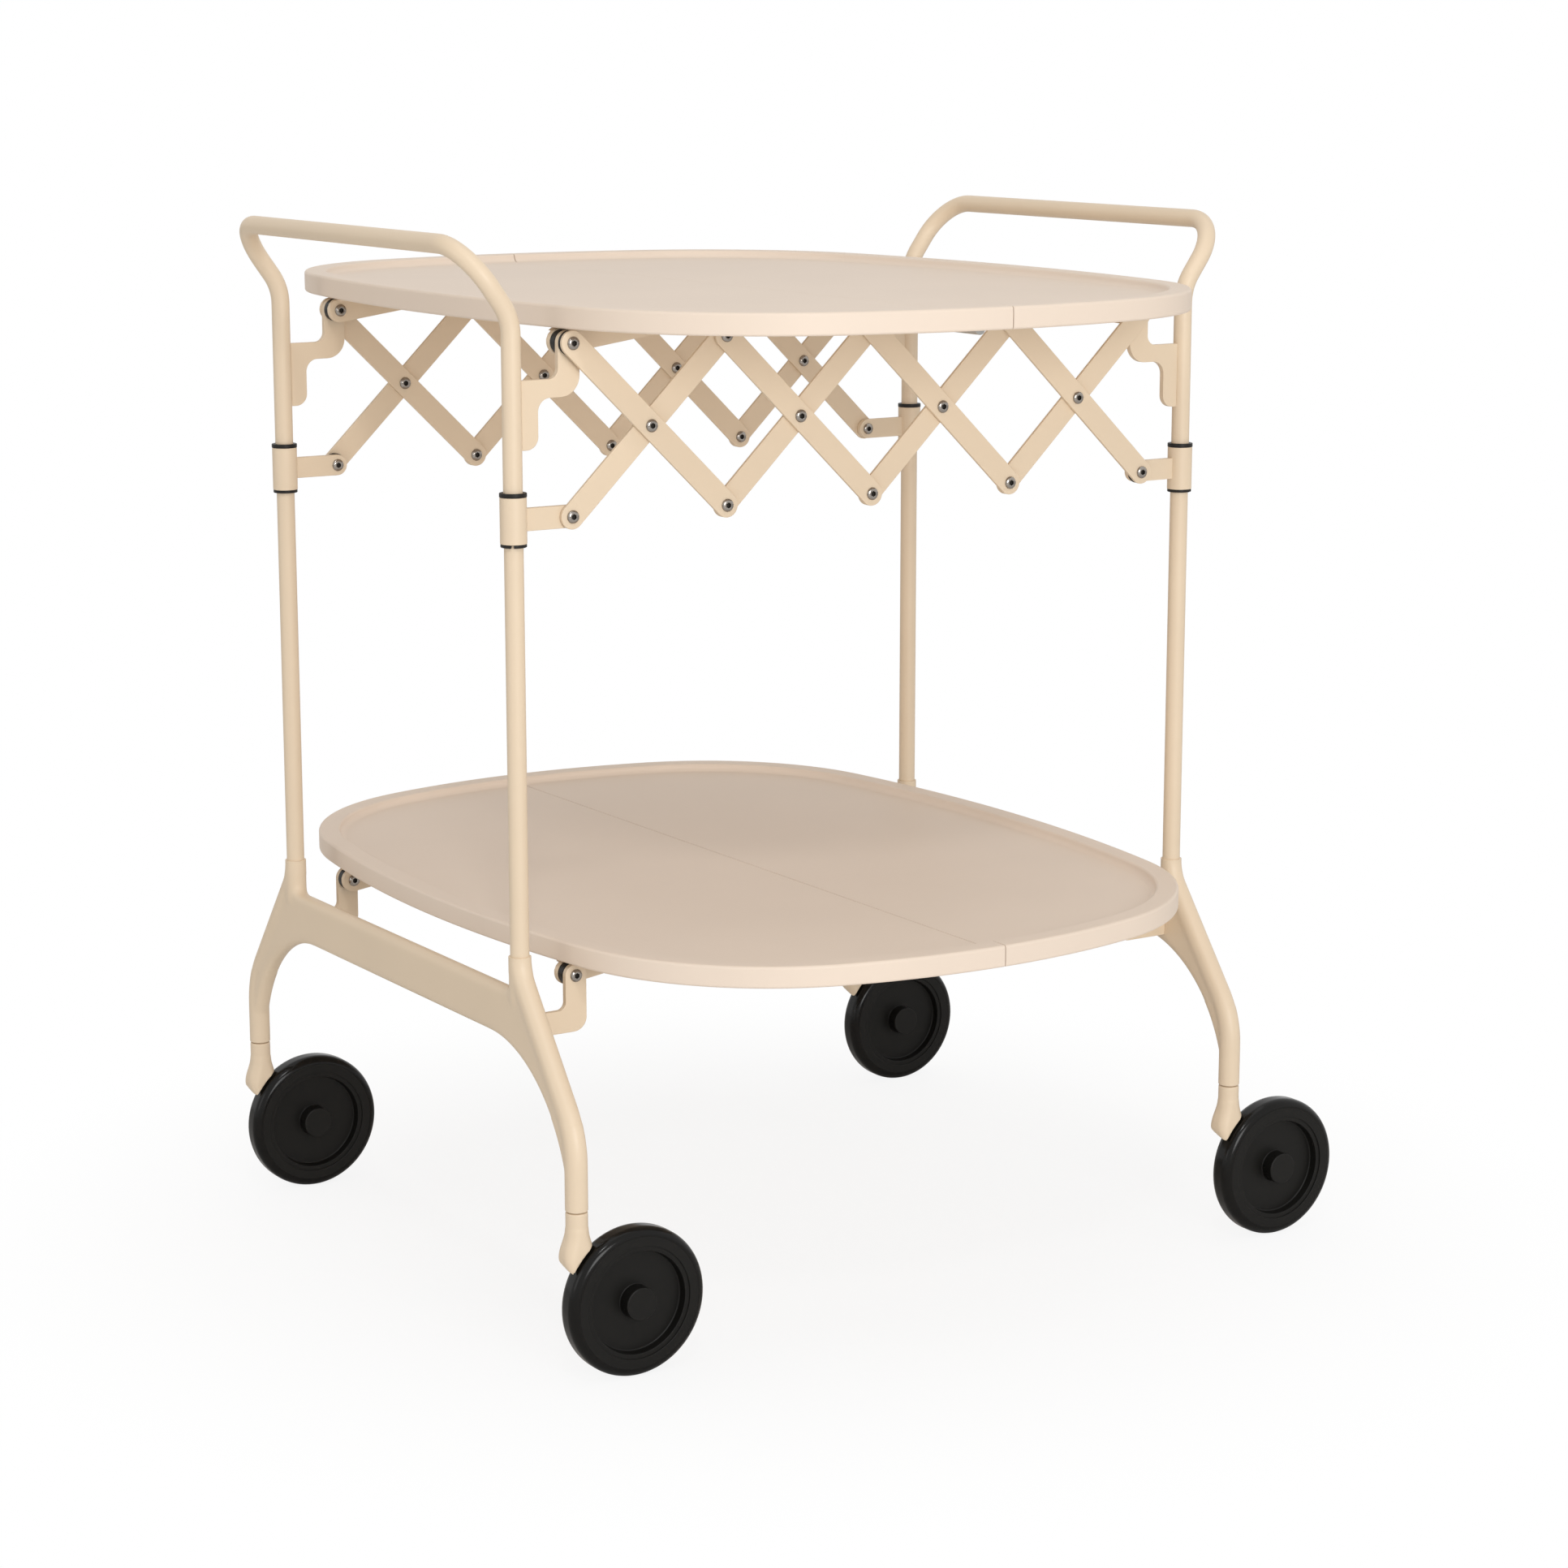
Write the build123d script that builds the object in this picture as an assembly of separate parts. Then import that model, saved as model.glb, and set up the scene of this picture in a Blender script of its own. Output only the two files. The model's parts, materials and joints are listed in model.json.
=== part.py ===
from build123d import *
from math import acos, atan2, degrees, hypot, sqrt
import os

# Folding serving trolley: two tube side frames on castors, joined by two folding trays and by a
# scissor lattice along each side. Lifting the trays at their seam draws the side frames together.
# X is the folding direction, Y runs along each side frame and Z is up. All lengths are in millimetres.

# Side frames
overall_height = 700.0
post_spacing = 323.4          # front post to back post of one side frame
post_offset = 38.6            # post axis outboard of the tray pivot line
tube_diameter = 12.0
tube_wall = 1.5
handle_reach = 31.0           # handle bar outboard of the posts
handle_bend_drop = 43.5       # handle bend below the centre of the bar
handle_bend_radius = 33.0
handle_corner_radius = 31.0

# Leg castings
crossbar_top = 234.6          # above the floor
socket_rise = 22.4            # top of the sockets above the crossbar
socket_depth = 26.0
leg_diameter = 14.4
leg_spread = 68.05            # each foot outside its post, along Y
foot_height = 110.9           # lower end of the legs above the floor
leg_bend_rise = 11.9          # upper corner of the leg's route above the crossbar
leg_bend_low = 157.9          # lower corner of the leg's route above the floor
leg_bend_high_radius = 27.3
leg_bend_low_radius = 54.8
crossbar_depth = 32.6
crossbar_thickness = 11.6
crossbar_rounding = 4.8
crossbar_corner_radius = 9.0
crossbar_root = 5.0           # how far the crossbar reaches into each round leg
arch_radius = 100.0

# Trays
tray_half_span = 218.1        # tray pivots to the seam with the trays flat
tray_overhang = 20.6          # bowed side beyond the pivots, along X
tray_half_length = 320.0      # along Y
tray_end_radius = 417.0
tray_side_radius = 1075.0
tray_corner_radius = 157.6
tray_thickness = 14.0
tray_underside = 9.0          # underside above the tray pivots
tray_lip_width = 11.0
tray_recess_depth = 5.5
tray_cove_radius = 3.5
tray_inner_edge_radius = 1.6
tray_outer_edge_radius = 2.4
tray_under_edge_radius = 1.6
seam_gap = 0.5
upper_pivot_drop = 65.8       # upper tray pivots below the top of the handles
lower_pivot_rise = 5.0        # lower tray pivots above the crossbar

# Tray lugs, under each leaf beside the brackets
lug_thickness = 3.6
lug_eye_radius = 8.0
lug_length = 96.0
lug_tip_depth = 4.0
lug_flange_width = 15.0
lug_flange_thickness = 2.5
lug_screw_inset = 20.0

# Centre hinges
hinge_drop = 2.0              # hinge axis below the underside of the tray
hinge_length = 48.0
hinge_end_inset = 58.0        # end of the tray to the middle of the nearest hinge
hinge_plate_width = 26.0
hinge_plate_thickness = 1.6
knuckle_radius = 3.6
hinge_pin_radius = 1.5
knuckle_gap = 0.4
screw_head_radius = 3.4
screw_head_height = 1.4

# Scissor lattice
lattice_depth = 105.6         # upper to lower pivots with the trays flat
arm_width = 15.6
arm_thickness = 2.5
arm_fold_gap = 0.6            # between neighbouring arms when folded
layer_gap = 0.3               # between pieces that turn against each other
lattice_units = 4

# Upper brackets, welded to the posts
bracket_thickness = 4.0
bracket_bar_width = 15.0
bracket_arm_top = 21.4        # top of the level arm below the pivot
bracket_arm_depth = 11.3
bracket_foot_width = 17.1
bracket_foot_drop = 63.7
bracket_inner_radius = 6.5
bracket_outer_radius = 13.0
bracket_hollow_radius = 8.5
bracket_foot_radius = 8.0

# Lower brackets, bolted to the crossbar of the leg casting
lower_arm_top = 21.4
lower_arm_depth = 14.8
lower_inner_radius = 5.0
lower_outer_radius = 9.0

# Pivot fasteners
bolt_radius = 2.0
bolt_head_radius = 4.1
bolt_head_height = 1.6
bolt_head_chamfer = 0.6
bolt_socket_width = 2.6
bolt_socket_depth = 0.9
spacer_radius = 7.6
spacer_thickness = 6.0

# Sliding sleeves
sleeve_radius = 8.3
sleeve_length = 28.5
sleeve_tab_height = 14.0
bush_radius = 7.0
bush_length = 9.0
bush_flange_radius = 8.5
bush_flange_thickness = 2.6
ring_radius = 8.1
ring_thickness = 2.0
ring_split = 1.6
ring_split_angle = -123.0

# Castors
wheel_radius = 48.1
wheel_width = 20.0
wheel_offset = 4.9            # middle of the wheel in front of the swivel axis
castor_trail = 36.8
shoulder_radius = 7.0
face_ring_radius = 33.6
face_step = 0.8
recess_radius = 31.8
recess_depth = 5.6
knob_radius = 10.2
knob_height = 9.2
knob_rounding = 1.0
axle_radius = 4.0
axle_end_gap = 1.0
axle_head_radius = 6.5
axle_head_height = 1.5
hub_radius = 11.0
stem_radius = 4.0
stem_length = 22.0
swivel_gap = 0.6
hood_neck_radius = 7.0
wheel_clearance = 1.5
cheek_gap = 1.1
cheek_thickness = 4.0
cheek_hub_radius = 10.0
cheek_root_radius = 6.0
cheek_root_drop = 27.0        # upper end of the cheek below the foot
cheek_root_reach = 1.5        # upper end of the cheek towards the wheel
hood_tip_drop = 38.8          # lowest point of the hood below the foot
hood_mouth_slope = 27.0       # degrees by which the hood's lower edge climbs to the far side

# Outline of the castor hood at falling heights, in millimetres from the swivel axis:
# depth below the foot, then the reach to the back, to the wheel side, to the front and to the far side
hood_depths = (11.0, 14.5, 19.5, 27.0, 34.5, 40.5)
hood_back_reaches = (7.2, 7.4, 8.4, 10.2, 9.2, 6.6)
hood_wheel_reaches = (7.2, 7.4, 8.6, 11.2, 13.4, 15.0)
hood_front_reaches = (7.2, 7.3, 7.4, 7.7, 7.7, 7.4)
hood_far_reaches = (7.2, 7.5, 8.4, 9.4, 9.4, 9.4)
hood_corner_radii = (7.0, 6.9, 6.8, 6.6, 4.8, 4.0)

# Fits
running_fit = 0.05
sliding_fit = 0.2
weld_gap = 0.02
overrun = 1.0

# Places worked out from the sizes above
tube_radius = tube_diameter / 2
post_x = tray_half_span + post_offset
post_y = post_spacing / 2
foot_y = post_y + leg_spread
tray_half_width = tray_half_span + tray_overhang
upper_tray_pivot = overall_height - upper_pivot_drop
lower_tray_pivot = crossbar_top + lower_pivot_rise
socket_height = crossbar_top + socket_rise
leg_bend_high = crossbar_top + leg_bend_rise
leg_radius = leg_diameter / 2
bar_height = overall_height - tube_radius
crossbar_bottom = crossbar_top - crossbar_depth
arm_pitch = 2 * tray_half_span / lattice_units
arm_length = hypot(arm_pitch, lattice_depth)
open_angle = atan2(lattice_depth, arm_pitch)
folded_half_span = lattice_units / 2 * (arm_width + arm_fold_gap)
folded_angle = acos(folded_half_span / (lattice_units / 2 * arm_length))
hinge_rise = tray_underside - hinge_drop
tray_swing = acos(folded_half_span / hypot(tray_half_span, hinge_rise)) - atan2(hinge_rise, tray_half_span)
lattice_ratio = (folded_angle - open_angle) / tray_swing
sleeve_height = upper_tray_pivot - lattice_depth

# Distances from the middle plane to the layers of each pivot
bracket_inner = post_y - bracket_thickness / 2
bracket_outer = post_y + bracket_thickness / 2
inner_arm = (bracket_outer + layer_gap, bracket_outer + layer_gap + arm_thickness)
outer_arm = (inner_arm[1] + layer_gap, inner_arm[1] + layer_gap + arm_thickness)
spacer_inner = bracket_inner - spacer_thickness
lug_outer = spacer_inner - layer_gap / 2
lug_inner = lug_outer - lug_thickness
inside_head = lug_inner - layer_gap / 2

# The origin is under the middle of the whole outline, which the trailing wheels widen on one side
left_reach = post_x + handle_reach + tube_radius
right_reach = post_x + castor_trail + wheel_radius
centre_shift = (right_reach - left_reach) / 2


def turned(shape):
    """The same piece for the other side frame, half a turn round."""
    return Rot(0, 0, 180) * shape


def mirrored(shape):
    """The same piece for the other end of the side frame."""
    return mirror(shape, about=Plane.XZ)


def group(*shapes):
    """Separate solids that share one node."""
    solids = []
    for shape in shapes:
        solids.extend(shape.solids())
    return Compound(children=solids)


def rod(radius, y_low, y_high, x, z):
    """A round bar along Y."""
    return Pos(x, (y_low + y_high) / 2, z) * Rot(90, 0, 0) * Cylinder(radius, y_high - y_low)


def plate(outline, y_low, y_high):
    """An outline drawn in X and Z, thickened from y_low to y_high."""
    return extrude(Plane.XZ.offset(-y_high) * outline, amount=y_high - y_low)


def lattice_point(column, level):
    """X and Z of a lattice pivot, with level 1 at the top, 0 at the bottom and 1/2 at a crossing."""
    return column * arm_pitch - tray_half_span, sleeve_height + level * (upper_tray_pivot - sleeve_height)


# Frame tubes

def frame_tube():
    low = socket_height - socket_depth
    bend = bar_height - handle_bend_drop
    corners = [
        (0, -post_y, low), (0, -post_y, bend), (-handle_reach, -post_y, bar_height),
        (-handle_reach, post_y, bar_height), (0, post_y, bend), (0, post_y, low),
    ]
    radii = [handle_bend_radius, handle_corner_radius, handle_corner_radius, handle_bend_radius]
    path = FilletPolyline(*corners, radius=radii)
    ring = Circle(tube_radius) - Circle(tube_radius - tube_wall)
    tube = sweep(Plane(origin=corners[0]) * ring, path=path)
    return Pos(-post_x, 0, 0) * tube


# Leg castings

def leg_casting():
    leg_corners = [
        (0, foot_y, foot_height), (0, foot_y, leg_bend_low),
        (0, post_y, leg_bend_high), (0, post_y, socket_height),
    ]
    leg_path = FilletPolyline(*leg_corners, radius=[leg_bend_low_radius, leg_bend_high_radius])
    leg = sweep(Plane(origin=leg_corners[0]) * Circle(leg_radius), path=leg_path)
    web = crossbar_web()
    casting = leg + mirrored(leg) + web
    bore = Cylinder(tube_radius + weld_gap, socket_depth, align=(Align.CENTER, Align.CENTER, Align.MAX))
    stem_hole = Cylinder(stem_radius + running_fit, stem_length + overrun,
                         align=(Align.CENTER, Align.CENTER, Align.MIN))
    for side in (-1, 1):
        casting -= Pos(0, side * post_y, socket_height) * bore
        casting -= Pos(0, side * foot_y, foot_height) * stem_hole
    return Pos(-post_x, 0, 0) * casting


def crossbar_web():
    """Flat crossbar that runs out into both legs, over an arch."""
    arch_centre_y = foot_y - leg_radius + crossbar_root / 2 - arch_radius + crossbar_root / 2
    arch_centre_z = crossbar_bottom - arch_radius
    arch_end_y = foot_y - crossbar_root / 2
    arch_end_z = arch_centre_z + sqrt(arch_radius ** 2 - (arch_end_y - crossbar_root - arch_centre_y) ** 2)
    root_y = post_y - leg_radius + crossbar_root / 2
    root_z = crossbar_top + 2 * crossbar_corner_radius
    with BuildSketch(Plane.YZ) as outline:
        with BuildLine():
            top = FilletPolyline((0, crossbar_top), (root_y, crossbar_top), (root_y, root_z),
                                 radius=crossbar_corner_radius)
            inner = Line(top @ 1, (post_y, root_z))
            leg = FilletPolyline(inner @ 1, (post_y, leg_bend_high), (foot_y, leg_bend_low),
                                 (foot_y, arch_end_z), radius=[leg_bend_high_radius / 4, leg_bend_low_radius])
            toe = Line(leg @ 1, (arch_end_y - crossbar_root, arch_end_z))
            arch = RadiusArc(toe @ 1, (arch_centre_y, crossbar_bottom), -arch_radius)
            base = Line(arch @ 1, (0, crossbar_bottom))
            Line(base @ 1, top @ 0)
        make_face()
        mirror(about=Plane.YZ)
    web = extrude(outline.sketch, amount=crossbar_thickness / 2, both=True)
    rounded = []
    for edge in web.edges().filter_by(Plane.YZ):
        middle = edge @ (1 / 2)
        reach = abs(middle.Y)
        on_top = middle.Z > crossbar_top - weld_gap and reach < root_y + weld_gap
        under_bar = arch_end_z + weld_gap < middle.Z < crossbar_bottom + weld_gap
        if on_top or (under_bar and reach < arch_end_y - crossbar_root + weld_gap):
            rounded.append(edge)
    return fillet(rounded, crossbar_rounding)


# Brackets

def upper_bracket():
    """S-shaped plate from the post up to the tray pivot, drawn about that pivot."""
    half = bracket_bar_width / 2
    arm_bottom = bracket_arm_top + bracket_arm_depth
    foot_edge = bracket_foot_width - post_offset
    with BuildSketch() as outline:
        with BuildLine():
            upper = FilletPolyline((-post_offset, -bracket_arm_top), (-half, -bracket_arm_top), (-half, 0),
                                   radius=bracket_inner_radius)
            eye = RadiusArc(upper @ 1, (half, 0), half)
            lower = FilletPolyline(eye @ 1, (half, -arm_bottom), (foot_edge, -arm_bottom),
                                   (foot_edge, -bracket_foot_drop), (-post_offset, -bracket_foot_drop),
                                   radius=[bracket_outer_radius, bracket_hollow_radius, bracket_foot_radius])
            Line(lower @ 1, upper @ 0)
        make_face()
    body = Pos(-tray_half_span, 0, upper_tray_pivot) * plate(outline.sketch, -bracket_outer, -bracket_inner)
    body -= Pos(-post_x, -post_y, upper_tray_pivot) * Cylinder(tube_radius + weld_gap, overall_height / 2)
    return body - rod(bolt_radius, -bracket_outer, -bracket_inner, -tray_half_span, upper_tray_pivot)


def lower_bracket():
    """L-shaped plate from the crossbar up to the lower tray pivot, drawn about that pivot."""
    half = bracket_bar_width / 2
    arm_bottom = lower_arm_top + lower_arm_depth
    root = crossbar_thickness / 2 - post_offset
    with BuildSketch() as outline:
        with BuildLine():
            upper = FilletPolyline((root, -lower_arm_top), (-half, -lower_arm_top), (-half, 0),
                                   radius=lower_inner_radius)
            eye = RadiusArc(upper @ 1, (half, 0), half)
            lower = FilletPolyline(eye @ 1, (half, -arm_bottom), (root, -arm_bottom),
                                   radius=lower_outer_radius)
            Line(lower @ 1, upper @ 0)
        make_face()
    body = Pos(-tray_half_span, 0, lower_tray_pivot) * plate(outline.sketch, -bracket_outer, -bracket_inner)
    return body - rod(bolt_radius, -bracket_outer, -bracket_inner, -tray_half_span, lower_tray_pivot)


# Fasteners and spacers, for the front of the left frame

def bolt_head(y_face, outward, x, z):
    """Low bolt head with a hexagon socket, standing on y_face and facing outward along Y."""
    head = Cylinder(bolt_head_radius, bolt_head_height, align=(Align.CENTER, Align.CENTER, Align.MIN))
    head = chamfer(head.edges().sort_by(Axis.Z)[-1], bolt_head_chamfer)
    socket = extrude(RegularPolygon(bolt_socket_width / 2, 6, major_radius=False), amount=bolt_socket_depth)
    head -= Pos(0, 0, bolt_head_height - bolt_socket_depth) * socket
    return Pos(x, y_face, z) * Rot(-90 * outward, 0, 0) * head


def bolt(y_low, y_high, x, z):
    """Shank with a head at each end."""
    shank = rod(bolt_radius, y_low, y_high, x, z)
    return shank + bolt_head(y_low, -1, x, z) + bolt_head(y_high, 1, x, z)


def half_bolt(y_face, y_split, x, z):
    """Head and short shank, from the outer face of an arm to the split between the layers."""
    outward = 1 if y_face > y_split else -1
    shank = rod(bolt_radius, min(y_face, y_split), max(y_face, y_split), x, z)
    return shank + bolt_head(y_face, outward, x, z)


def washer(y_low, y_high, x, z):
    return rod(spacer_radius, y_low, y_high, x, z) - rod(bolt_radius + running_fit, y_low, y_high, x, z)


def pivot_bolts():
    """Bolts at the ends of the trays: in front they hold the outer lattice arm, at the back the inner one."""
    x = -tray_half_span
    front = bolt(-outer_arm[1] - layer_gap / 2, -inside_head, x, upper_tray_pivot)
    back = bolt(inside_head, inner_arm[1] + layer_gap / 2, x, upper_tray_pivot)
    lower = bolt(-bracket_outer, -inside_head, x, lower_tray_pivot)
    return group(front, back, lower, mirrored(lower))


def pivot_spacers():
    """Black discs between brackets and tray lugs, and one under the outer lattice arm."""
    x = -tray_half_span
    upper = washer(-bracket_inner, -spacer_inner, x, upper_tray_pivot)
    lower = washer(-bracket_inner, -spacer_inner, x, lower_tray_pivot)
    under_arm = washer(layer_gap / 2 - outer_arm[0], -bracket_outer, x, upper_tray_pivot)
    return group(upper, mirrored(upper), lower, mirrored(lower), under_arm)


# Trays

def tray_outline(inset):
    """Rounded outline of a whole tray: shallow end arcs, bowed side arcs and a corner arc tangent to both."""
    end_radius = tray_end_radius - inset
    side_radius = tray_side_radius - inset
    corner_radius = tray_corner_radius - inset
    end_centre = Vector(0, tray_half_length - tray_end_radius)
    side_centre = Vector(tray_half_width - tray_side_radius, 0)
    to_end = tray_end_radius - tray_corner_radius
    to_side = tray_side_radius - tray_corner_radius
    between = side_centre - end_centre
    along = (to_end ** 2 - to_side ** 2 + between.length ** 2) / (2 * between.length)
    across = sqrt(to_end ** 2 - along ** 2)
    unit = between.normalized()
    foot = end_centre + unit * along
    corner_centre = max((foot + Vector(-unit.Y, unit.X) * across, foot - Vector(-unit.Y, unit.X) * across),
                        key=lambda point: point.X + point.Y)
    end_join = corner_centre + (corner_centre - end_centre).normalized() * corner_radius
    side_join = corner_centre + (corner_centre - side_centre).normalized() * corner_radius
    with BuildSketch() as outline:
        with BuildLine():
            end = RadiusArc((0, end_centre.Y + end_radius), end_join, end_radius)
            corner = RadiusArc(end @ 1, side_join, corner_radius)
            side = RadiusArc(corner @ 1, (side_centre.X + side_radius, 0), side_radius)
            Polyline(side @ 1, (0, 0), end @ 0)
        make_face()
        mirror(about=Plane.YZ)
        mirror(about=Plane.XZ)
    return outline.sketch


def hinge_places():
    middle = tray_half_length - hinge_end_inset
    return (-middle, middle)


def tray_panel(pivot_height):
    """Left leaf of a tray, cut at the seam and relieved for the centre hinges."""
    underside = pivot_height + tray_underside
    body = Pos(0, 0, underside) * extrude(tray_outline(0), amount=tray_thickness)
    top = underside + tray_thickness
    body = fillet(body.edges().group_by(Axis.Z)[-1], tray_outer_edge_radius)
    body = fillet(body.edges().group_by(Axis.Z)[0], tray_under_edge_radius)
    recess = extrude(tray_outline(tray_lip_width), amount=tray_recess_depth + overrun)
    recess = fillet(recess.edges().group_by(Axis.Z)[0], tray_cove_radius)
    body -= Pos(0, 0, top - tray_recess_depth) * recess
    lip = body.faces().sort_by(Axis.Z)[-1]
    body = fillet(lip.inner_wires()[0].edges(), tray_inner_edge_radius)
    half = Box(tray_half_width, 2 * tray_half_length, tray_thickness,
               align=(Align.MAX, Align.CENTER, Align.MIN))
    body &= Pos(-seam_gap / 2, 0, underside) * half
    for y in hinge_places():
        relief = rod(knuckle_radius + knuckle_gap, y - hinge_length / 2 - knuckle_gap,
                     y + hinge_length / 2 + knuckle_gap, 0, pivot_height + hinge_rise)
        body -= relief
    return body


def tray_lugs(pivot_height):
    """Pair of angle plates under the left leaf, each with the eye that turns on the pivot bolt."""
    with BuildSketch() as outline:
        with BuildLine():
            back = Line((-lug_eye_radius, tray_underside), (-lug_eye_radius, 0))
            eye = RadiusArc(back @ 1, (0, -lug_eye_radius), -lug_eye_radius)
            Polyline(eye @ 1, (lug_length - lug_tip_depth, tray_underside - lug_tip_depth),
                     (lug_length, tray_underside), back @ 0)
        make_face()
    web = plate(outline.sketch, -lug_outer, -lug_inner)
    flange = Box(lug_length + lug_eye_radius, lug_flange_width, lug_flange_thickness,
                 align=(Align.MIN, Align.MIN, Align.MAX))
    web += Pos(-lug_eye_radius, -lug_inner, tray_underside) * flange
    hole = rod(bolt_radius + running_fit, -lug_outer, -lug_inner, 0, 0)
    lug = Pos(-tray_half_span, 0, pivot_height) * (web - hole)
    return group(lug, mirrored(lug))


def screw_head(x, y, z):
    """Low round head under a plate whose lower face is at z."""
    head = Cylinder(screw_head_radius, screw_head_height, align=(Align.CENTER, Align.CENTER, Align.MAX))
    return Pos(x, y, z) * chamfer(head.edges().sort_by(Axis.Z)[0], screw_head_height / 2)


def hinge_hardware(pivot_height, carries_pin):
    """Hinge plates under the left leaf, with knuckles round the hinge axis, and the screws of the leaf."""
    underside = pivot_height + tray_underside
    axis_height = pivot_height + hinge_rise
    third = hinge_length / 3
    pieces = []
    for y in hinge_places():
        low = y - hinge_length / 2
        leaf = Box(hinge_plate_width, hinge_length, hinge_plate_thickness,
                   align=(Align.MAX, Align.CENTER, Align.MAX))
        leaf = Pos(-knuckle_radius - knuckle_gap, y, underside) * leaf
        starts = (low, low + 2 * third) if carries_pin else (low + third + knuckle_gap,)
        span = third if carries_pin else third - 2 * knuckle_gap
        for start in starts:
            bridge = Box(knuckle_radius + knuckle_gap, span, hinge_plate_thickness,
                         align=(Align.MAX, Align.MIN, Align.MAX))
            leaf += Pos(0, start, underside) * bridge
            leaf += rod(knuckle_radius, start, start + span, 0, axis_height)
        if carries_pin:
            leaf += rod(hinge_pin_radius, low, low + hinge_length, 0, axis_height)
        else:
            leaf -= rod(hinge_pin_radius + running_fit, low, low + hinge_length, 0, axis_height)
        pieces.append(leaf)
        screw_x = -knuckle_radius - hinge_plate_width / 2
        for side in (-1, 1):
            pieces.append(screw_head(screw_x, y + side * third, underside - hinge_plate_thickness))
    flange_y = lug_inner - lug_flange_width / 2
    for side in (-1, 1):
        for along in (lug_screw_inset, lug_length - lug_screw_inset):
            screw = screw_head(along - tray_half_span, side * flange_y, underside - lug_flange_thickness)
            pieces.append(screw)
    return group(*pieces)


# Scissor lattice

def arm(top, bottom, layer, side):
    """Flat bar between two pivots, with a hole at each end and one at the crossing."""
    top_x, top_z = top
    bottom_x, bottom_z = bottom
    middle_x = (top_x + bottom_x) / 2
    middle_z = (top_z + bottom_z) / 2
    slope = degrees(atan2(top_z - bottom_z, top_x - bottom_x))
    outline = Pos(middle_x, middle_z) * Rot(0, 0, slope) * SlotCenterToCenter(arm_length, arm_width)
    y_low, y_high = sorted((side * layer[0], side * layer[1]))
    bar = plate(outline, y_low, y_high)
    for x, z in (top, bottom, (middle_x, middle_z)):
        bar -= rod(bolt_radius + running_fit, y_low, y_high, x, z)
    return bar


def lattice_arm(family, number, side):
    """Arm of family a falls to the right and arm of family b rises to the right; side -1 is the front."""
    left_level, right_level = (1, 0) if family == "a" else (0, 1)
    left = lattice_point(number - 1, left_level)
    right = lattice_point(number, right_level)
    layer = outer_arm if (family == "a") == (side == -1) else inner_arm
    return arm(left, right, layer, side)


def lattice_bolt(column, level, side):
    """Bolt through both layers of the lattice at one pivot."""
    x, z = lattice_point(column, level)
    low = inner_arm[0] - layer_gap / 2
    high = outer_arm[1] + layer_gap / 2
    y_low, y_high = sorted((side * low, side * high))
    return bolt(y_low, y_high, x, z)


def centre_half_bolt(family, column, level, side):
    """Half of a bolt at the middle of the lattice, held by one arm alone."""
    x, z = lattice_point(column, level)
    is_outer = (family == "a") == (side == -1)
    split = (inner_arm[1] + outer_arm[0]) / 2
    face = outer_arm[1] if is_outer else inner_arm[0]
    end = split + layer_gap / 4 if is_outer else split - layer_gap / 4
    return half_bolt(side * face, side * end, x, z)


def lattice_bolts(places):
    return group(*[lattice_bolt(column, level, side) for side in (-1, 1) for column, level in places])


def centre_half_bolts(family, column, level):
    return group(*[centre_half_bolt(family, column, level, side) for side in (-1, 1)])


def arm_a2_bolts():
    return group(lattice_bolts(((1, 1), (3 / 2, 1 / 2))), centre_half_bolts("a", 2, 0))


def arm_a3_bolts():
    return group(lattice_bolts(((3, 0), (5 / 2, 1 / 2))), centre_half_bolts("a", 2, 1))


# Sliding sleeves on the posts of the left frame

def sleeve():
    """Collar round the front post, with a flat tab that reaches the lattice pivot."""
    body = Cylinder(sleeve_radius, sleeve_length)
    side = bracket_thickness / 2
    tab = Box(post_offset, bracket_thickness, sleeve_tab_height, align=(Align.MIN, Align.CENTER, Align.CENTER))
    tab += rod(sleeve_tab_height / 2, -side, side, post_offset, 0)
    tab -= rod(bolt_radius, -side, side, post_offset, 0)
    body += tab
    body -= Cylinder(bush_radius, sleeve_length)
    return Pos(-post_x, -post_y, sleeve_height) * body


def bush(flange_radius, flange_thickness, split):
    """Plastic liner with a flange, pressed in at the top of a sleeve."""
    liner = Cylinder(bush_radius, bush_length, align=(Align.CENTER, Align.CENTER, Align.MAX))
    flange = Cylinder(flange_radius, flange_thickness, align=(Align.CENTER, Align.CENTER, Align.MIN))
    body = liner + flange - Cylinder(tube_radius + sliding_fit, 2 * bush_length + 2 * flange_thickness)
    if split:
        slot = Box(2 * flange_radius, ring_split, flange_thickness,
                   align=(Align.MIN, Align.CENTER, Align.MIN))
        body -= Rot(0, 0, -ring_split_angle) * slot
    return body


def sleeve_bushes():
    """Liners of both sleeves, and the washer under the outer arm at the back sleeve."""
    top = Pos(0, 0, sleeve_length / 2) * bush(bush_flange_radius, bush_flange_thickness, False)
    low = Pos(0, 0, -sleeve_length / 2) * Rot(180, 0, 0) * bush(ring_radius, ring_thickness, True)
    front = [Pos(-post_x, -post_y, sleeve_height) * liner for liner in (top, low)]
    back = [mirrored(liner) for liner in front]
    under_arm = washer(bracket_outer, outer_arm[0] - layer_gap / 2, -tray_half_span, sleeve_height)
    return group(*front, *back, under_arm)


def sleeve_bolts():
    front = bolt(-inner_arm[1] - layer_gap / 2, -bracket_inner, -tray_half_span, sleeve_height)
    back = bolt(bracket_inner, outer_arm[1] + layer_gap / 2, -tray_half_span, sleeve_height)
    return group(front, back)


# Castors, drawn about the swivel axis with the wheel trailing towards +X and its open face towards -Y

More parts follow.
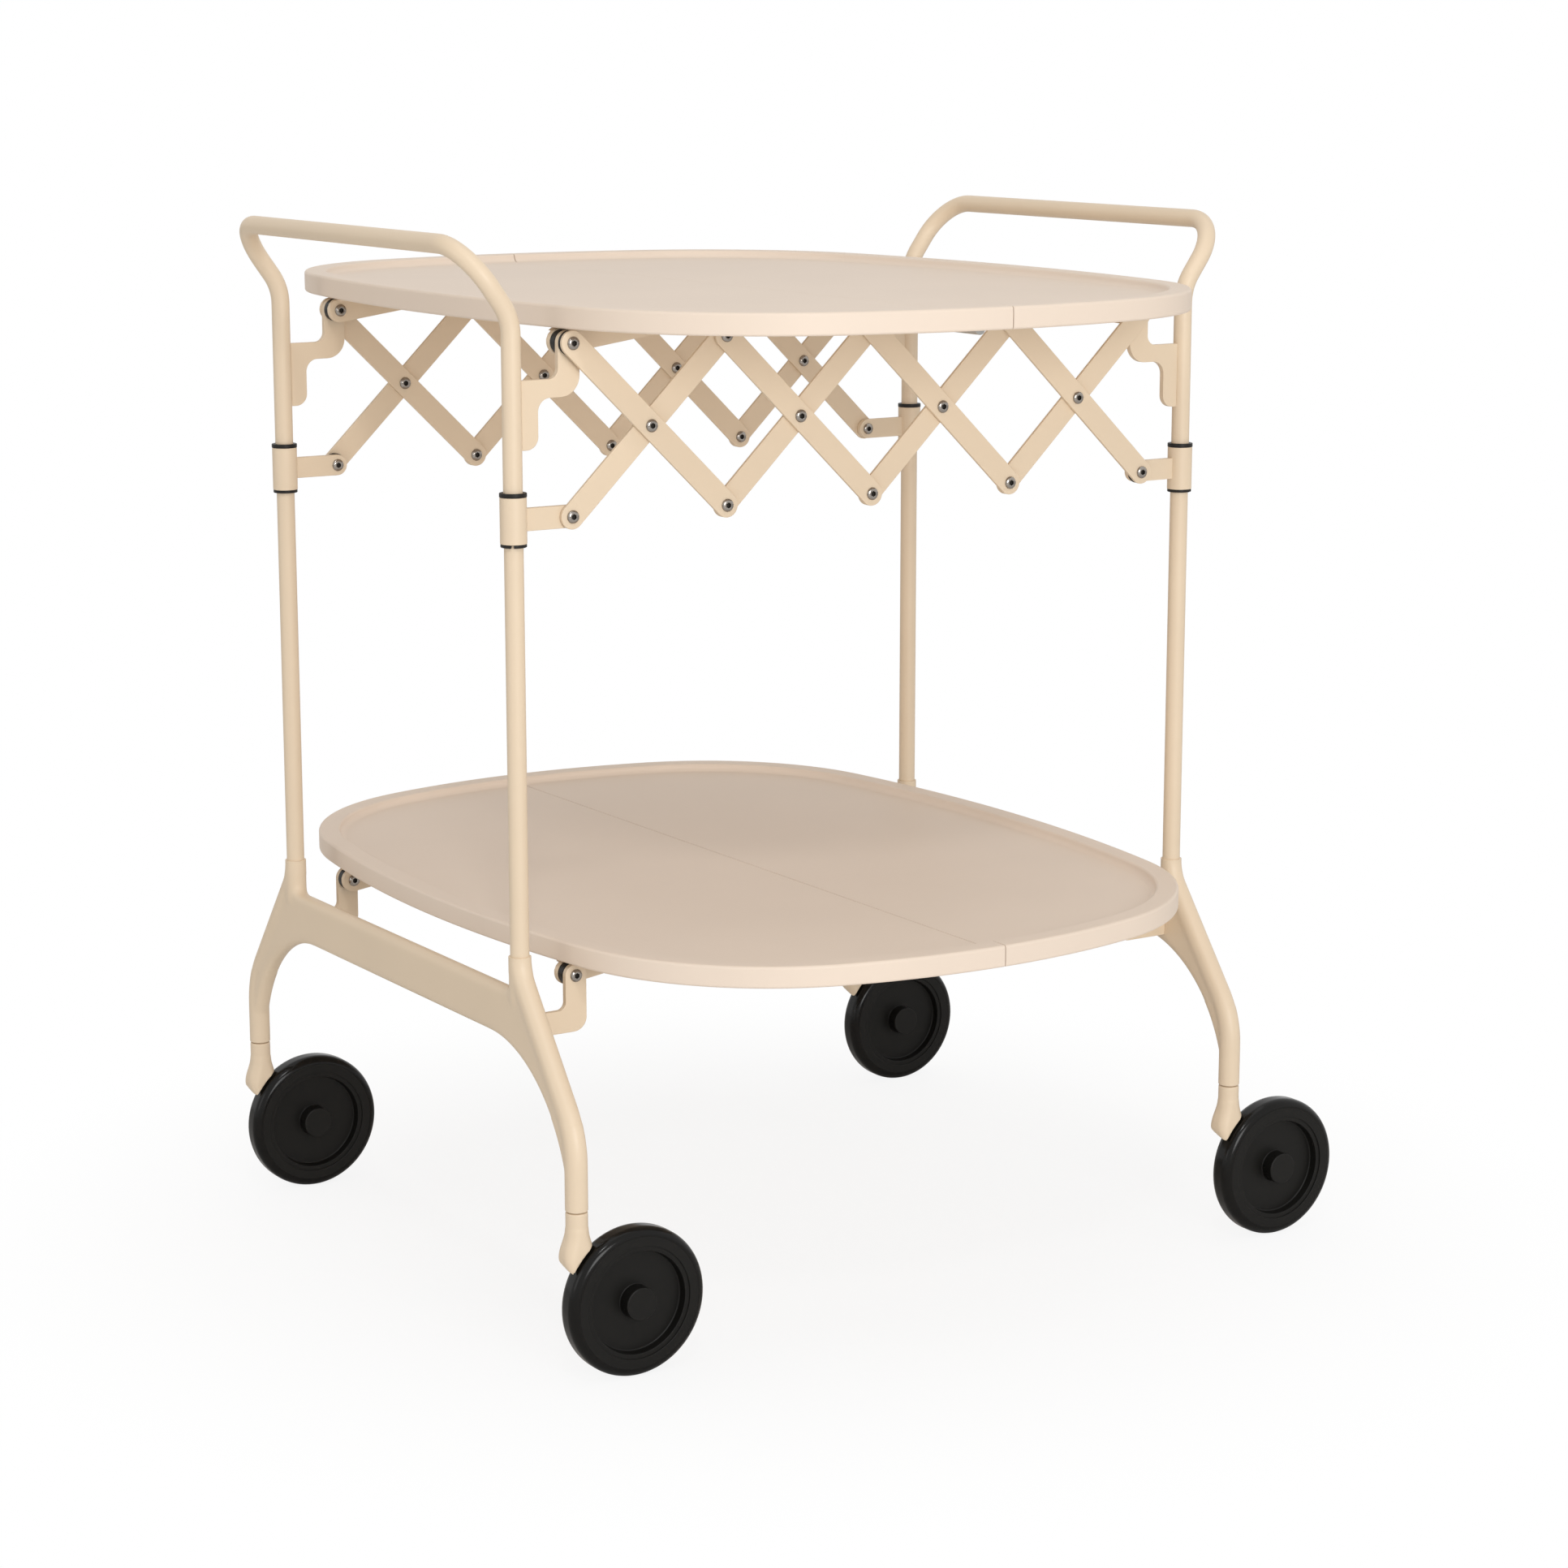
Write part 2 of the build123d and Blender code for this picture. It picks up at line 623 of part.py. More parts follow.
def wheel():
    """Disc wheel with rounded shoulders, a stepped recess and a round hub cap on the open face."""
    half = wheel_width / 2
    tread = half - shoulder_radius
    face_inner = wheel_radius - shoulder_radius
    floor = half - recess_depth
    cap = floor + knob_height
    hub_end = layer_gap - half - cheek_gap
    with BuildSketch(Plane.XZ) as profile:
        with BuildLine():
            Polyline((0, cap), (knob_radius - knob_rounding, cap))
            RadiusArc((knob_radius - knob_rounding, cap), (knob_radius, cap - knob_rounding), knob_rounding)
            Polyline((knob_radius, cap - knob_rounding), (knob_radius, floor),
                     (recess_radius - face_step, floor), (recess_radius, half - face_step),
                     (face_ring_radius, half - face_step), (face_ring_radius, half), (face_inner, half))
            RadiusArc((face_inner, half), (wheel_radius, tread), shoulder_radius)
            Line((wheel_radius, tread), (wheel_radius, -tread))
            RadiusArc((wheel_radius, -tread), (face_inner, -half), shoulder_radius)
            Polyline((face_inner, -half), (recess_radius, -half), (recess_radius, -floor),
                     (hub_radius, -floor), (hub_radius, hub_end), (0, hub_end), (0, cap))
        make_face()
    disc = revolve(profile.sketch, axis=Axis.Z)
    bore = Cylinder(axle_radius + running_fit, half - hub_end, align=(Align.CENTER, Align.CENTER, Align.MIN))
    disc -= Pos(0, 0, hub_end) * bore
    return Pos(castor_trail, -wheel_offset, wheel_radius) * Rot(90, 0, 0) * disc


def hood_section(depth, back, ahead, front, far, radius):
    """Rounded rectangle across the hood at one depth below the foot."""
    outline = RectangleRounded(back + ahead, front + far, radius)
    return Pos((ahead - back) / 2, (far - front) / 2, foot_height - depth) * outline


def castor_hood():
    """Swivelling hood: round neck, flared foot cut round the wheel, and a far cheek with the axle."""
    neck_top = foot_height - swivel_gap
    neck_length = hood_depths[1] - swivel_gap
    neck = Cylinder(hood_neck_radius, neck_length, align=(Align.CENTER, Align.CENTER, Align.MAX))
    stem = Cylinder(stem_radius, stem_length, align=(Align.CENTER, Align.CENTER, Align.MIN))
    neck = Pos(0, 0, neck_top) * (neck + stem)
    sections = []
    for values in zip(hood_depths, hood_back_reaches, hood_wheel_reaches, hood_front_reaches,
                      hood_far_reaches, hood_corner_radii):
        sections.append(hood_section(*values))
    foot = loft(sections)
    cheek_near = wheel_width / 2 - wheel_offset + cheek_gap
    cheek_far = cheek_near + cheek_thickness
    clearance = wheel_radius + wheel_clearance
    foot -= rod(clearance, -wheel_width, wheel_width, castor_trail, wheel_radius)
    mouth = Box(2 * wheel_radius, 2 * wheel_radius, wheel_radius,
                align=(Align.CENTER, Align.CENTER, Align.MAX))
    foot -= Pos(0, -hood_neck_radius, foot_height - hood_tip_drop) * Rot(hood_mouth_slope, 0, 0) * mouth
    root_end = Pos(cheek_root_reach, foot_height - cheek_root_drop) * Circle(cheek_root_radius)
    hub_end = Pos(castor_trail, wheel_radius) * Circle(cheek_hub_radius)
    cheek = plate(make_hull([*root_end.edges(), *hub_end.edges()]), cheek_near, cheek_far)
    axle_tip = -wheel_offset - wheel_width / 2 + axle_end_gap
    axle = rod(axle_radius, axle_tip, cheek_far + axle_head_height, castor_trail, wheel_radius)
    axle_head = rod(axle_head_radius, cheek_far, cheek_far + axle_head_height, castor_trail, wheel_radius)
    return neck + foot + cheek + axle + axle_head


def castor_places():
    return {
        "front_left": (-post_x, -foot_y), "back_left": (-post_x, foot_y),
        "front_right": (post_x, -foot_y), "back_right": (post_x, foot_y),
    }


def build_nodes():
    """Every named piece of the trolley, with the trolley's middle at X = 0."""
    nodes = {}
    left = {
        "frame_tube": frame_tube(),
        "leg_casting": leg_casting(),
        "upper_brackets": group(upper_bracket(), mirrored(upper_bracket())),
        "lower_brackets": group(lower_bracket(), mirrored(lower_bracket())),
        "pivot_bolts": pivot_bolts(),
        "pivot_spacers": pivot_spacers(),
        "sleeves": group(sleeve(), mirrored(sleeve())),
        "sleeve_bushes": sleeve_bushes(),
        "sleeve_bolts": sleeve_bolts(),
    }
    for name, shape in left.items():
        nodes["left_" + name] = shape
        nodes["right_" + name] = turned(shape)
    for level, height in (("upper", upper_tray_pivot), ("lower", lower_tray_pivot)):
        nodes[level + "_left_tray"] = tray_panel(height)
        nodes[level + "_right_tray"] = turned(tray_panel(height))
        nodes[level + "_left_tray_lugs"] = tray_lugs(height)
        nodes[level + "_right_tray_lugs"] = turned(tray_lugs(height))
        nodes[level + "_left_hinge_hardware"] = hinge_hardware(height, True)
        nodes[level + "_right_hinge_hardware"] = turned(hinge_hardware(height, False))
    for side, name in ((-1, "front"), (1, "back")):
        for family in ("a", "b"):
            for number in range(1, lattice_units + 1):
                nodes[f"{name}_arm_{family}{number}"] = lattice_arm(family, number, side)
    nodes["arm_a1_bolts"] = lattice_bolts(((1 / 2, 1 / 2), (1, 0)))
    nodes["arm_a2_bolts"] = arm_a2_bolts()
    nodes["arm_a3_bolts"] = arm_a3_bolts()
    nodes["arm_a4_bolts"] = lattice_bolts(((3, 1), (7 / 2, 1 / 2)))
    nodes["arm_b2_bolts"] = centre_half_bolts("b", 2, 1)
    nodes["arm_b3_bolts"] = centre_half_bolts("b", 2, 0)
    for name, (x, y) in castor_places().items():
        nodes[name + "_castor_hood"] = Pos(x, y, 0) * castor_hood()
        nodes[name + "_castor_wheel"] = Pos(x, y, 0) * wheel()
    return nodes


def main():
    os.makedirs("parts", exist_ok=True)
    for name, shape in build_nodes().items():
        export_step(Pos(-centre_shift, 0, 0) * shape, f"parts/{name}.step")
    print("fold angle of a tray leaf, degrees:", round(degrees(tray_swing), 3))
    print("turn of a lattice arm for each turn of a leaf:", round(lattice_ratio, 5))


if __name__ == "__main__":
    main()
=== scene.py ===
# %% [markdown]
# # A folding serving trolley
#
# The trolley has two tube side frames on cast legs, two trays that fold up at a seam, and a
# scissor lattice along each side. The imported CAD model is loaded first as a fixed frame, and the
# places of the pieces are read from it, so that each sits where its CAD node does.

# %% Load the frame
import json
import math

import bmesh
import bpy
from mathutils import Matrix, Vector


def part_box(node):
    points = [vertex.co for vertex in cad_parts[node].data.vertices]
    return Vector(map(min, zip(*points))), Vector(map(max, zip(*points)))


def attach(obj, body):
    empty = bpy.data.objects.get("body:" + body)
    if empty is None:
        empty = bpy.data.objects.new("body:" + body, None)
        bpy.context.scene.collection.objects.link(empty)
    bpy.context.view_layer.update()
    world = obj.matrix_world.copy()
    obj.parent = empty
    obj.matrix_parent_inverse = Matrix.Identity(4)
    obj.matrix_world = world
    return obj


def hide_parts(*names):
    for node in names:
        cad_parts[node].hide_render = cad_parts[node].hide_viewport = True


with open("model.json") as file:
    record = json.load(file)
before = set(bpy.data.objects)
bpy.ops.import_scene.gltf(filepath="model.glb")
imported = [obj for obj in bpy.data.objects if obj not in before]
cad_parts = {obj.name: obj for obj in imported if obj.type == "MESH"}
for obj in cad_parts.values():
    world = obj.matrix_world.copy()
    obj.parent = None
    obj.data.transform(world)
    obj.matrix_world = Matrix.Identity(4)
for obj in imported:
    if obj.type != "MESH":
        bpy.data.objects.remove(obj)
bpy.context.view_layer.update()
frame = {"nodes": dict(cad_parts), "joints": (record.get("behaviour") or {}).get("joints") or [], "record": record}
MM = 0.001
HALF_TURN = math.pi
QUARTER_TURN = math.pi / 2
Y_AXIS, Z_AXIS = Vector((0, 1, 0)), Vector((0, 0, 1))
nodes_of_body = frame["record"]["behaviour"]["bodies"]
body_of_node = {node: body for body, nodes in nodes_of_body.items() for node in nodes}
joint_places = {joint["name"]: Vector(joint["pos_m"]) for joint in frame["joints"]}
middle_x = joint_places["upper_centre_hinge"].x

# %% [markdown]
# ## Finishes
#
# Each finish is a small node tree on Object coordinates, so it sticks to the piece. The metal
# has a satin powder coat, the trays are matte moulded plastic and the wheels are black. They
# differ in a few values only, so one builder makes them all: a drift of colour over the whole
# piece, and a fine grain that moves both the gloss and the bump.

# %% A coated, moulded or plated surface
CLOUDS_PER_METRE, CLOUD_DETAIL = 9.0, 3.0
TINT_START, TINT_END = 0.3, 0.7
GRAIN_DETAIL = 2.0
GLOSS_DRIFT = 0.05
BUMP_STRENGTH = 0.6


def surface(name, colour, roughness, grain_size, grain_depth, drift=0.02, metallic=0.0, specular=0.5):
    material = bpy.data.materials.new(name)
    material.use_nodes = True
    nodes = material.node_tree.nodes
    links = material.node_tree.links
    shader = nodes["Principled BSDF"]
    shader.inputs["Metallic"].default_value = metallic
    shader.inputs["Specular IOR Level"].default_value = specular
    place = nodes.new("ShaderNodeTexCoord")

    clouds = nodes.new("ShaderNodeTexNoise")
    clouds.inputs["Scale"].default_value = CLOUDS_PER_METRE
    clouds.inputs["Detail"].default_value = CLOUD_DETAIL
    links.new(place.outputs["Object"], clouds.inputs["Vector"])
    tint = nodes.new("ShaderNodeValToRGB")
    pale, dark = tint.color_ramp.elements[1], tint.color_ramp.elements[0]
    dark.position, pale.position = TINT_START, TINT_END
    dark.color = (*[channel * (1 - drift) for channel in colour], 1)
    pale.color = (*[min(1, channel * (1 + drift)) for channel in colour], 1)
    links.new(clouds.outputs["Fac"], tint.inputs["Fac"])
    links.new(tint.outputs["Color"], shader.inputs["Base Color"])

    grain = nodes.new("ShaderNodeTexNoise")
    grain.inputs["Scale"].default_value = 1 / grain_size
    grain.inputs["Detail"].default_value = GRAIN_DETAIL
    links.new(place.outputs["Object"], grain.inputs["Vector"])
    gloss = nodes.new("ShaderNodeMapRange")
    gloss.inputs["To Min"].default_value = roughness - GLOSS_DRIFT
    gloss.inputs["To Max"].default_value = roughness + GLOSS_DRIFT
    links.new(grain.outputs["Fac"], gloss.inputs["Value"])
    links.new(gloss.outputs["Result"], shader.inputs["Roughness"])
    bump = nodes.new("ShaderNodeBump")
    bump.inputs["Strength"].default_value = BUMP_STRENGTH
    bump.inputs["Distance"].default_value = grain_depth
    links.new(grain.outputs["Fac"], bump.inputs["Height"])
    links.new(bump.outputs["Normal"], shader.inputs["Normal"])
    return material


frame_coat = surface("frame_coat", (0.770, 0.628, 0.463), 0.42, 1.3 * MM, 0.04 * MM)
tray_plastic = surface("tray_plastic", (0.805, 0.682, 0.572), 0.55, 0.7 * MM, 0.02 * MM, drift=0.012)
black_plastic = surface("black_plastic", (0.012, 0.011, 0.010), 0.42, 0.8 * MM, 0.02 * MM, specular=0.25)
wheel_face = surface("wheel_face", (0.0052, 0.0049, 0.0041), 0.45, 0.6 * MM, 0.06 * MM, drift=0.12,
                     specular=0.22)
wheel_shoulder = surface("wheel_shoulder", (0.0045, 0.0042, 0.0036), 0.17, 2.0 * MM, 0.01 * MM,
                         specular=0.2)
bolt_steel = surface("bolt_steel", (0.34, 0.31, 0.28), 0.2, 1.2 * MM, 0.01 * MM, metallic=1.0)
# The socket finish is near-black steel: painted shade that darkens the hexagon recess of each bolt head.
socket_painted_shade = surface("socket_painted_shade", (0.030, 0.026, 0.022), 0.5, 1.2 * MM, 0.01 * MM, metallic=0.6,
                       specular=0.2)
zinc_plate = surface("zinc_plate", (0.50, 0.50, 0.49), 0.34, 3.0 * MM, 0.02 * MM, drift=0.08, metallic=1.0)
print("finishes:", [material.name for material in bpy.data.materials])

# %% [markdown]
# ## From a shape to a piece
#
# A finished mesh becomes an object that rides on a CAD body and stands for a CAD node. Curved
# faces are shaded smooth, edges sharper than 35 degrees stay crisp, and weighted normals keep
# wide flat faces flat beside their small rounded edges.

# %% Finish a piece
SHARP_ANGLE = math.radians(35)


def to_mesh(shape, name, recalculate=True):
    if recalculate:
        bmesh.ops.recalc_face_normals(shape, faces=shape.faces)
    mesh = bpy.data.meshes.new(name)
    shape.to_mesh(mesh)
    shape.free()
    return mesh


def finish_piece(mesh, name, node, slot, *materials):
    for polygon in mesh.polygons:
        polygon.use_smooth = True
    mesh.set_sharp_from_angle(angle=SHARP_ANGLE)
    for material in materials:
        mesh.materials.append(material)
    piece = bpy.data.objects.new(name, mesh)
    bpy.context.scene.collection.objects.link(piece)
    weighted = piece.modifiers.new("flat faces", "WEIGHTED_NORMAL")
    weighted.keep_sharp = True
    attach(piece, body_of_node[node])
    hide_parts(node)
    print(name, len(mesh.polygons), "faces")


# %% [markdown]
# ## Solids inside a node
#
# A CAD node can hold several solids, such as four bolts. Its mesh is loose triangles, so a copy
# is merged first. The copy's connected islands then tell where each solid is.

# %% Copies and islands of a node
MERGE_DISTANCE = 0.002 * MM


def merged_copy(node):
    shape = bmesh.new()
    shape.from_mesh(frame["nodes"][node].data)
    bmesh.ops.remove_doubles(shape, verts=shape.verts, dist=MERGE_DISTANCE)
    return shape


def island_boxes(node):
    shape = merged_copy(node)
    waiting = set(shape.verts)
    boxes = []
    while waiting:
        border = [waiting.pop()]
        low, high = border[0].co.copy(), border[0].co.copy()
        while border:
            vertex = border.pop()
            low = Vector(map(min, low, vertex.co))
            high = Vector(map(max, high, vertex.co))
            neighbours = {edge.other_vert(vertex) for edge in vertex.link_edges} & waiting
            waiting -= neighbours
            border.extend(neighbours)
        boxes.append((low, high))
    shape.free()
    return sorted(boxes, key=lambda box: [round(value, 5) for value in (*box[0], *box[1])])


def join(shape, part):
    """Adds the mesh of part to shape."""
    spare = bpy.data.meshes.new("spare")
    part.to_mesh(spare)
    part.free()
    shape.from_mesh(spare)
    bpy.data.meshes.remove(spare)


print("solids in the left pivot bolts:", len(island_boxes("left_pivot_bolts")))

# %% [markdown]
# ## Side tubes
#
# Each side frame is one tube bent into an upside-down U whose top leans outward as the handle.
# A curve with a round bevel could make it, but its rings bunch up in the bends. Here one ring
# of edges is extruded along each straight and spun round each bend, as a tube bender works.

# %% Extrude and spin a ring along a route
TUBE_SIDES = 44
DEGREES_PER_STEP = 4


def edges_in(items):
    return [item for item in items if isinstance(item, bmesh.types.BMEdge)]


def verts_in(items):
    return {item for item in items if isinstance(item, bmesh.types.BMVert)}


def bend_tube(corners, bend_radii, radius):
    shape = bmesh.new()
    directions = [(b - a).normalized() for a, b in zip(corners, corners[1:])]
    turn = Z_AXIS.rotation_difference(directions[0]).to_matrix().to_4x4()
    start = Matrix.Translation(corners[0]) @ turn
    bmesh.ops.create_circle(shape, cap_ends=True, segments=TUBE_SIDES, radius=radius, matrix=start)
    ring = shape.edges[:]
    place = corners[0].copy()
    for corner, bend, before, after in zip(corners[1:], bend_radii, directions, directions[1:]):
        angle = before.angle(after)
        setback = bend * math.tan(angle / 2)
        bend_start = corner - before * setback
        ring = extrude_ring(shape, ring, bend_start - place)
        inward = (after - before * before.dot(after)).normalized()
        swept = bmesh.ops.spin(shape, geom=ring, cent=bend_start + inward * bend, axis=before.cross(after),
                               angle=angle, steps=math.ceil(math.degrees(angle) / DEGREES_PER_STEP))
        ring = edges_in(swept["geom_last"])
        place = corner + after * setback
    ring = extrude_ring(shape, ring, corners[-1] - place)
    bmesh.ops.contextual_create(shape, geom=ring)
    return shape


def extrude_ring(shape, ring, travel):
    grown = bmesh.ops.extrude_edge_only(shape, edges=ring)["geom"]
    moved = verts_in(grown)
    bmesh.ops.translate(shape, verts=list(moved), vec=travel)
    return [edge for edge in edges_in(grown) if moved.issuperset(edge.verts)]


# %% Left and right side tubes
TUBE_RADIUS = 6.0 * MM
HANDLE_DROP = 43.5 * MM
HANDLE_BENDS = (33.0 * MM, 31.0 * MM, 31.0 * MM, 33.0 * MM)

for side in ("left", "right"):
    node = f"{side}_frame_tube"
    low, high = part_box(node)
    bar_z = high.z - TUBE_RADIUS
    front, back = low.y + TUBE_RADIUS, high.y - TUBE_RADIUS
    post_x, bar_x = high.x - TUBE_RADIUS, low.x + TUBE_RADIUS
    if side == "right":
        post_x, bar_x = low.x + TUBE_RADIUS, high.x - TUBE_RADIUS
    route = [
        Vector((post_x, front, low.z)), Vector((post_x, front, bar_z - HANDLE_DROP)),
        Vector((bar_x, front, bar_z)), Vector((bar_x, back, bar_z)),
        Vector((post_x, back, bar_z - HANDLE_DROP)), Vector((post_x, back, low.z)),
    ]
    tube = bend_tube(route, HANDLE_BENDS, TUBE_RADIUS)
    finish_piece(to_mesh(tube, node), f"{side}_side_tube", node, "frame_coat", frame_coat)

# %% [markdown]
# ## Leg castings
#
# Legs, sockets and crossbar are one casting, and the flat crossbar runs into the round legs
# without a step. The CAD solid has a crease there. A voxel remesh joins its copy with plugs
# that lengthen the sockets and the feet, smoothing then melts the crease, and last the sockets
# and the feet are cut off flat again, so that they stay crisp.

# %% Remesh, blend and cut
SMOOTHING = 0.5


def remeshed(shape, voxel):
    """Shape as one skin of even small faces."""
    rough = bpy.data.objects.new("rough", to_mesh(shape, "rough"))
    bpy.context.scene.collection.objects.link(rough)
    remesh = rough.modifiers.new("remesh", "REMESH")
    remesh.mode = "VOXEL"
    remesh.voxel_size = voxel
    skin = bmesh.new()
    skin.from_object(rough, bpy.context.evaluated_depsgraph_get())
    bpy.data.objects.remove(rough)
    return skin


def blend_skin(skin, rounds, chosen):
    picked = [vertex for vertex in skin.verts if chosen(vertex.co)]
    for _ in range(rounds):
        bmesh.ops.smooth_vert(skin, verts=picked, factor=SMOOTHING, use_axis_x=True, use_axis_y=True,
                              use_axis_z=True)


def cut_away(shape, place, outward):
    """Removes what lies outward of a plane, and returns the edges of the cut."""
    geometry = shape.verts[:] + shape.edges[:] + shape.faces[:]
    cut = bmesh.ops.bisect_plane(shape, geom=geometry, plane_co=place, plane_no=outward, clear_outer=True)
    return edges_in(cut["geom_cut"])


def round_edges(shape, edges, rounding, segments=2):
    bmesh.ops.bevel(shape, geom=edges, affect="EDGES", offset=rounding, segments=segments, profile=0.5,
                    material=-1, offset_type="OFFSET", clamp_overlap=True)


def cut_flat(skin, height, upward, rounding):
    """Cuts the skin level at a height, closes it and rounds the rim."""
    rim = cut_away(skin, (0, 0, height), (0, 0, upward))
    bmesh.ops.holes_fill(skin, edges=rim, sides=0)
    round_edges(skin, rim, rounding)


# %% Left and right leg castings
LEG_RADIUS = 7.2 * MM
LEG_SPREAD = 68.05 * MM
LEG_VOXEL = 1.1 * MM
PLUG_LENGTH = 34.0 * MM
PLUG_PROUD = 5.0 * MM
PLUG_SIDES = 64
CREASE_LOW, CREASE_HIGH = 165 * MM, 246 * MM
SKIN_ROUNDS, CREASE_ROUNDS = 3, 14
SOCKET_ROUNDING, FOOT_ROUNDING = 0.5 * MM, 0.7 * MM

for side in ("left", "right"):
    node = f"{side}_leg_casting"
    low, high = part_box(node)
    x = (low.x + high.x) / 2
    foot_y = high.y - LEG_RADIUS
    post_y = foot_y - LEG_SPREAD
    casting = merged_copy(node)
    sockets = [(y, high.z, 1) for y in (post_y, -post_y)]
    feet = [(y, low.z, -1) for y in (foot_y, -foot_y)]
    for y, end, sign in sockets + feet:
        plug_middle = end + sign * (PLUG_PROUD - PLUG_LENGTH / 2)
        plug = bmesh.new()
        bmesh.ops.create_cone(plug, cap_ends=True, segments=PLUG_SIDES, radius1=LEG_RADIUS,
                              radius2=LEG_RADIUS, depth=PLUG_LENGTH,
                              matrix=Matrix.Translation((x, y, plug_middle)))
        join(casting, plug)
    skin = remeshed(casting, LEG_VOXEL)
    blend_skin(skin, SKIN_ROUNDS, lambda place: True)
    blend_skin(skin, CREASE_ROUNDS, lambda place: CREASE_LOW < place.z < CREASE_HIGH)
    cut_flat(skin, high.z, 1, SOCKET_ROUNDING)
    cut_flat(skin, low.z, -1, FOOT_ROUNDING)
    finish_piece(to_mesh(skin, node), f"{side}_leg_and_crossbar", node, "frame_coat", frame_coat)

# %% [markdown]
# ## Plates with softened edges
#
# Brackets, sleeves, lugs and hinges are right in the CAD model but for their edges, which are
# perfectly sharp there. Real ones are dressed after cutting, and a coat rounds them further. A
# merged copy of each gets its flat triangles dissolved and its sharp edges bevelled.

# %% Bevel the sharp edges of a copy
FLAT_ANGLE = math.radians(1)
EDGE_ANGLE = math.radians(40)


def dressed(shape, node, rounding):
    bmesh.ops.dissolve_limit(shape, angle_limit=FLAT_ANGLE, verts=shape.verts, edges=shape.edges)
    sharp = [edge for edge in shape.edges if edge.is_manifold and edge.calc_face_angle() > EDGE_ANGLE]
    round_edges(shape, sharp, rounding)
    return to_mesh(shape, node, recalculate=False)


# %% [markdown]
# The lugs under the trays end square in the CAD model. In the photograph they are round about the
# pivot and hide behind the black disc, so tangent planes trim the eye of each copy, and the end
# of its flange is slanted away from the eye.

# %% Round the eye of a lug
LUG_EYE_RADIUS = 8.0 * MM
EYE_PLANE_TURNS = (22.5, 45.0, 67.5)
FLANGE_SLANT = 18.0 * MM
FLANGE_TOLERANCE = 0.1 * MM


def trimmed_lug(node, pivot):
    shape = merged_copy(node)
    outward = math.copysign(1, pivot.x - middle_x)
    inner_y = min(abs(vertex.co.y) for vertex in shape.verts)
    for vertex in shape.verts:
        on_inner_edge = abs(vertex.co.y) < inner_y + FLANGE_TOLERANCE
        if on_inner_edge and (vertex.co.x - pivot.x) * outward > 0:
            vertex.co.x -= outward * FLANGE_SLANT
    for degrees in EYE_PLANE_TURNS:
        turn = math.radians(degrees)
        normal = Vector((outward * math.cos(turn), 0, math.sin(turn)))
        rim = cut_away(shape, pivot + normal * LUG_EYE_RADIUS, normal)
        bmesh.ops.holes_fill(shape, edges=rim, sides=0)
    bmesh.ops.recalc_face_normals(shape, faces=shape.faces)
    return shape


# %% Brackets, sleeves, lugs and hinges
PLATE_ROUNDING = 0.5 * MM
THIN_ROUNDING = 0.4 * MM
HINGE_ROUNDING = 0.2 * MM


def finish_copy(node, name, rounding, slot, material, shape=None):
    shape = shape or merged_copy(node)
    finish_piece(dressed(shape, node, rounding), name, node, slot, material)


for side in ("left", "right"):
    for kind in ("upper", "lower"):
        finish_copy(f"{side}_{kind}_brackets", f"{side}_{kind}_pivot_brackets", PLATE_ROUNDING,
                    "frame_coat", frame_coat)
    finish_copy(f"{side}_sleeves", f"{side}_sliding_sleeves", THIN_ROUNDING, "frame_coat", frame_coat)
    finish_copy(f"{side}_sleeve_bushes", f"{side}_sleeve_liners", PLATE_ROUNDING, "black_plastic",
                black_plastic)
    finish_copy(f"{side}_pivot_spacers", f"{side}_spacer_discs", PLATE_ROUNDING, "black_plastic",
                black_plastic)
    for level in ("upper", "lower"):
        node = f"{level}_{side}_tray_lugs"
        pivot = joint_places[f"{level}_tray_fold"].copy()
        if side == "right":
            pivot.x = 2 * middle_x - pivot.x
        finish_copy(node, f"{level}_{side}_angle_lugs", THIN_ROUNDING, "frame_coat", frame_coat,
                    shape=trimmed_lug(node, pivot))
        finish_copy(f"{level}_{side}_hinge_hardware", f"{level}_{side}_hinge_and_screws", HINGE_ROUNDING,
                    "steel", zinc_plate)

# %% [markdown]
# ## Tray leaves
#
# Each leaf is moulded with a raised lip all round its outer side: a cove rises from the floor to
# a slightly leaning inner wall, and the lip is rounded at its rims. The outline is five arcs,
# each tangent to the next, so the section of the lip is drawn once and spun round the centre of
# each arc in turn. The leaf is cut at the seam, and then the floor, the underside and the seam
# face close it.

# %% Section of the lip
LIP_WIDTH = 14.5 * MM
LIP_SLOPE = 1.5 * MM
RECESS_DEPTH = 5.5 * MM
COVE_RADIUS = 3.2 * MM
INNER_EDGE, OUTER_EDGE, UNDER_EDGE = 1.3 * MM, 2.0 * MM, 1.6 * MM


def rounded_chain(shape, places, roundings):
    """Draws an open chain through places; roundings holds (number, radius, segments) of its corners."""
    points = [shape.verts.new(place) for place in places]
    for a, b in zip(points, points[1:]):
        shape.edges.new((a, b))
    for number, radius, segments in roundings:
        bmesh.ops.bevel(shape, geom=[points[number]], affect="VERTICES", offset=radius,
                        segments=segments, profile=0.5, material=-1)


def lip_section(shape, end_y, top, bottom):
    """Open chain from the floor over the lip to the underside, in the plane of the seam."""
    floor_height = top - RECESS_DEPTH
    inner_y = end_y - LIP_WIDTH
    foot_y = inner_y - LIP_SLOPE
    corners = [
        (foot_y - 2 * COVE_RADIUS, floor_height), (foot_y, floor_height), (inner_y, top),
        (end_y, top), (end_y, bottom), (end_y - 2 * UNDER_EDGE, bottom),
    ]
    roundings = ((1, COVE_RADIUS, 6), (2, INNER_EDGE, 4), (3, OUTER_EDGE, 6), (4, UNDER_EDGE, 4))
    rounded_chain(shape, [(middle_x, y, z) for y, z in corners], roundings)
    return shape.edges[:]


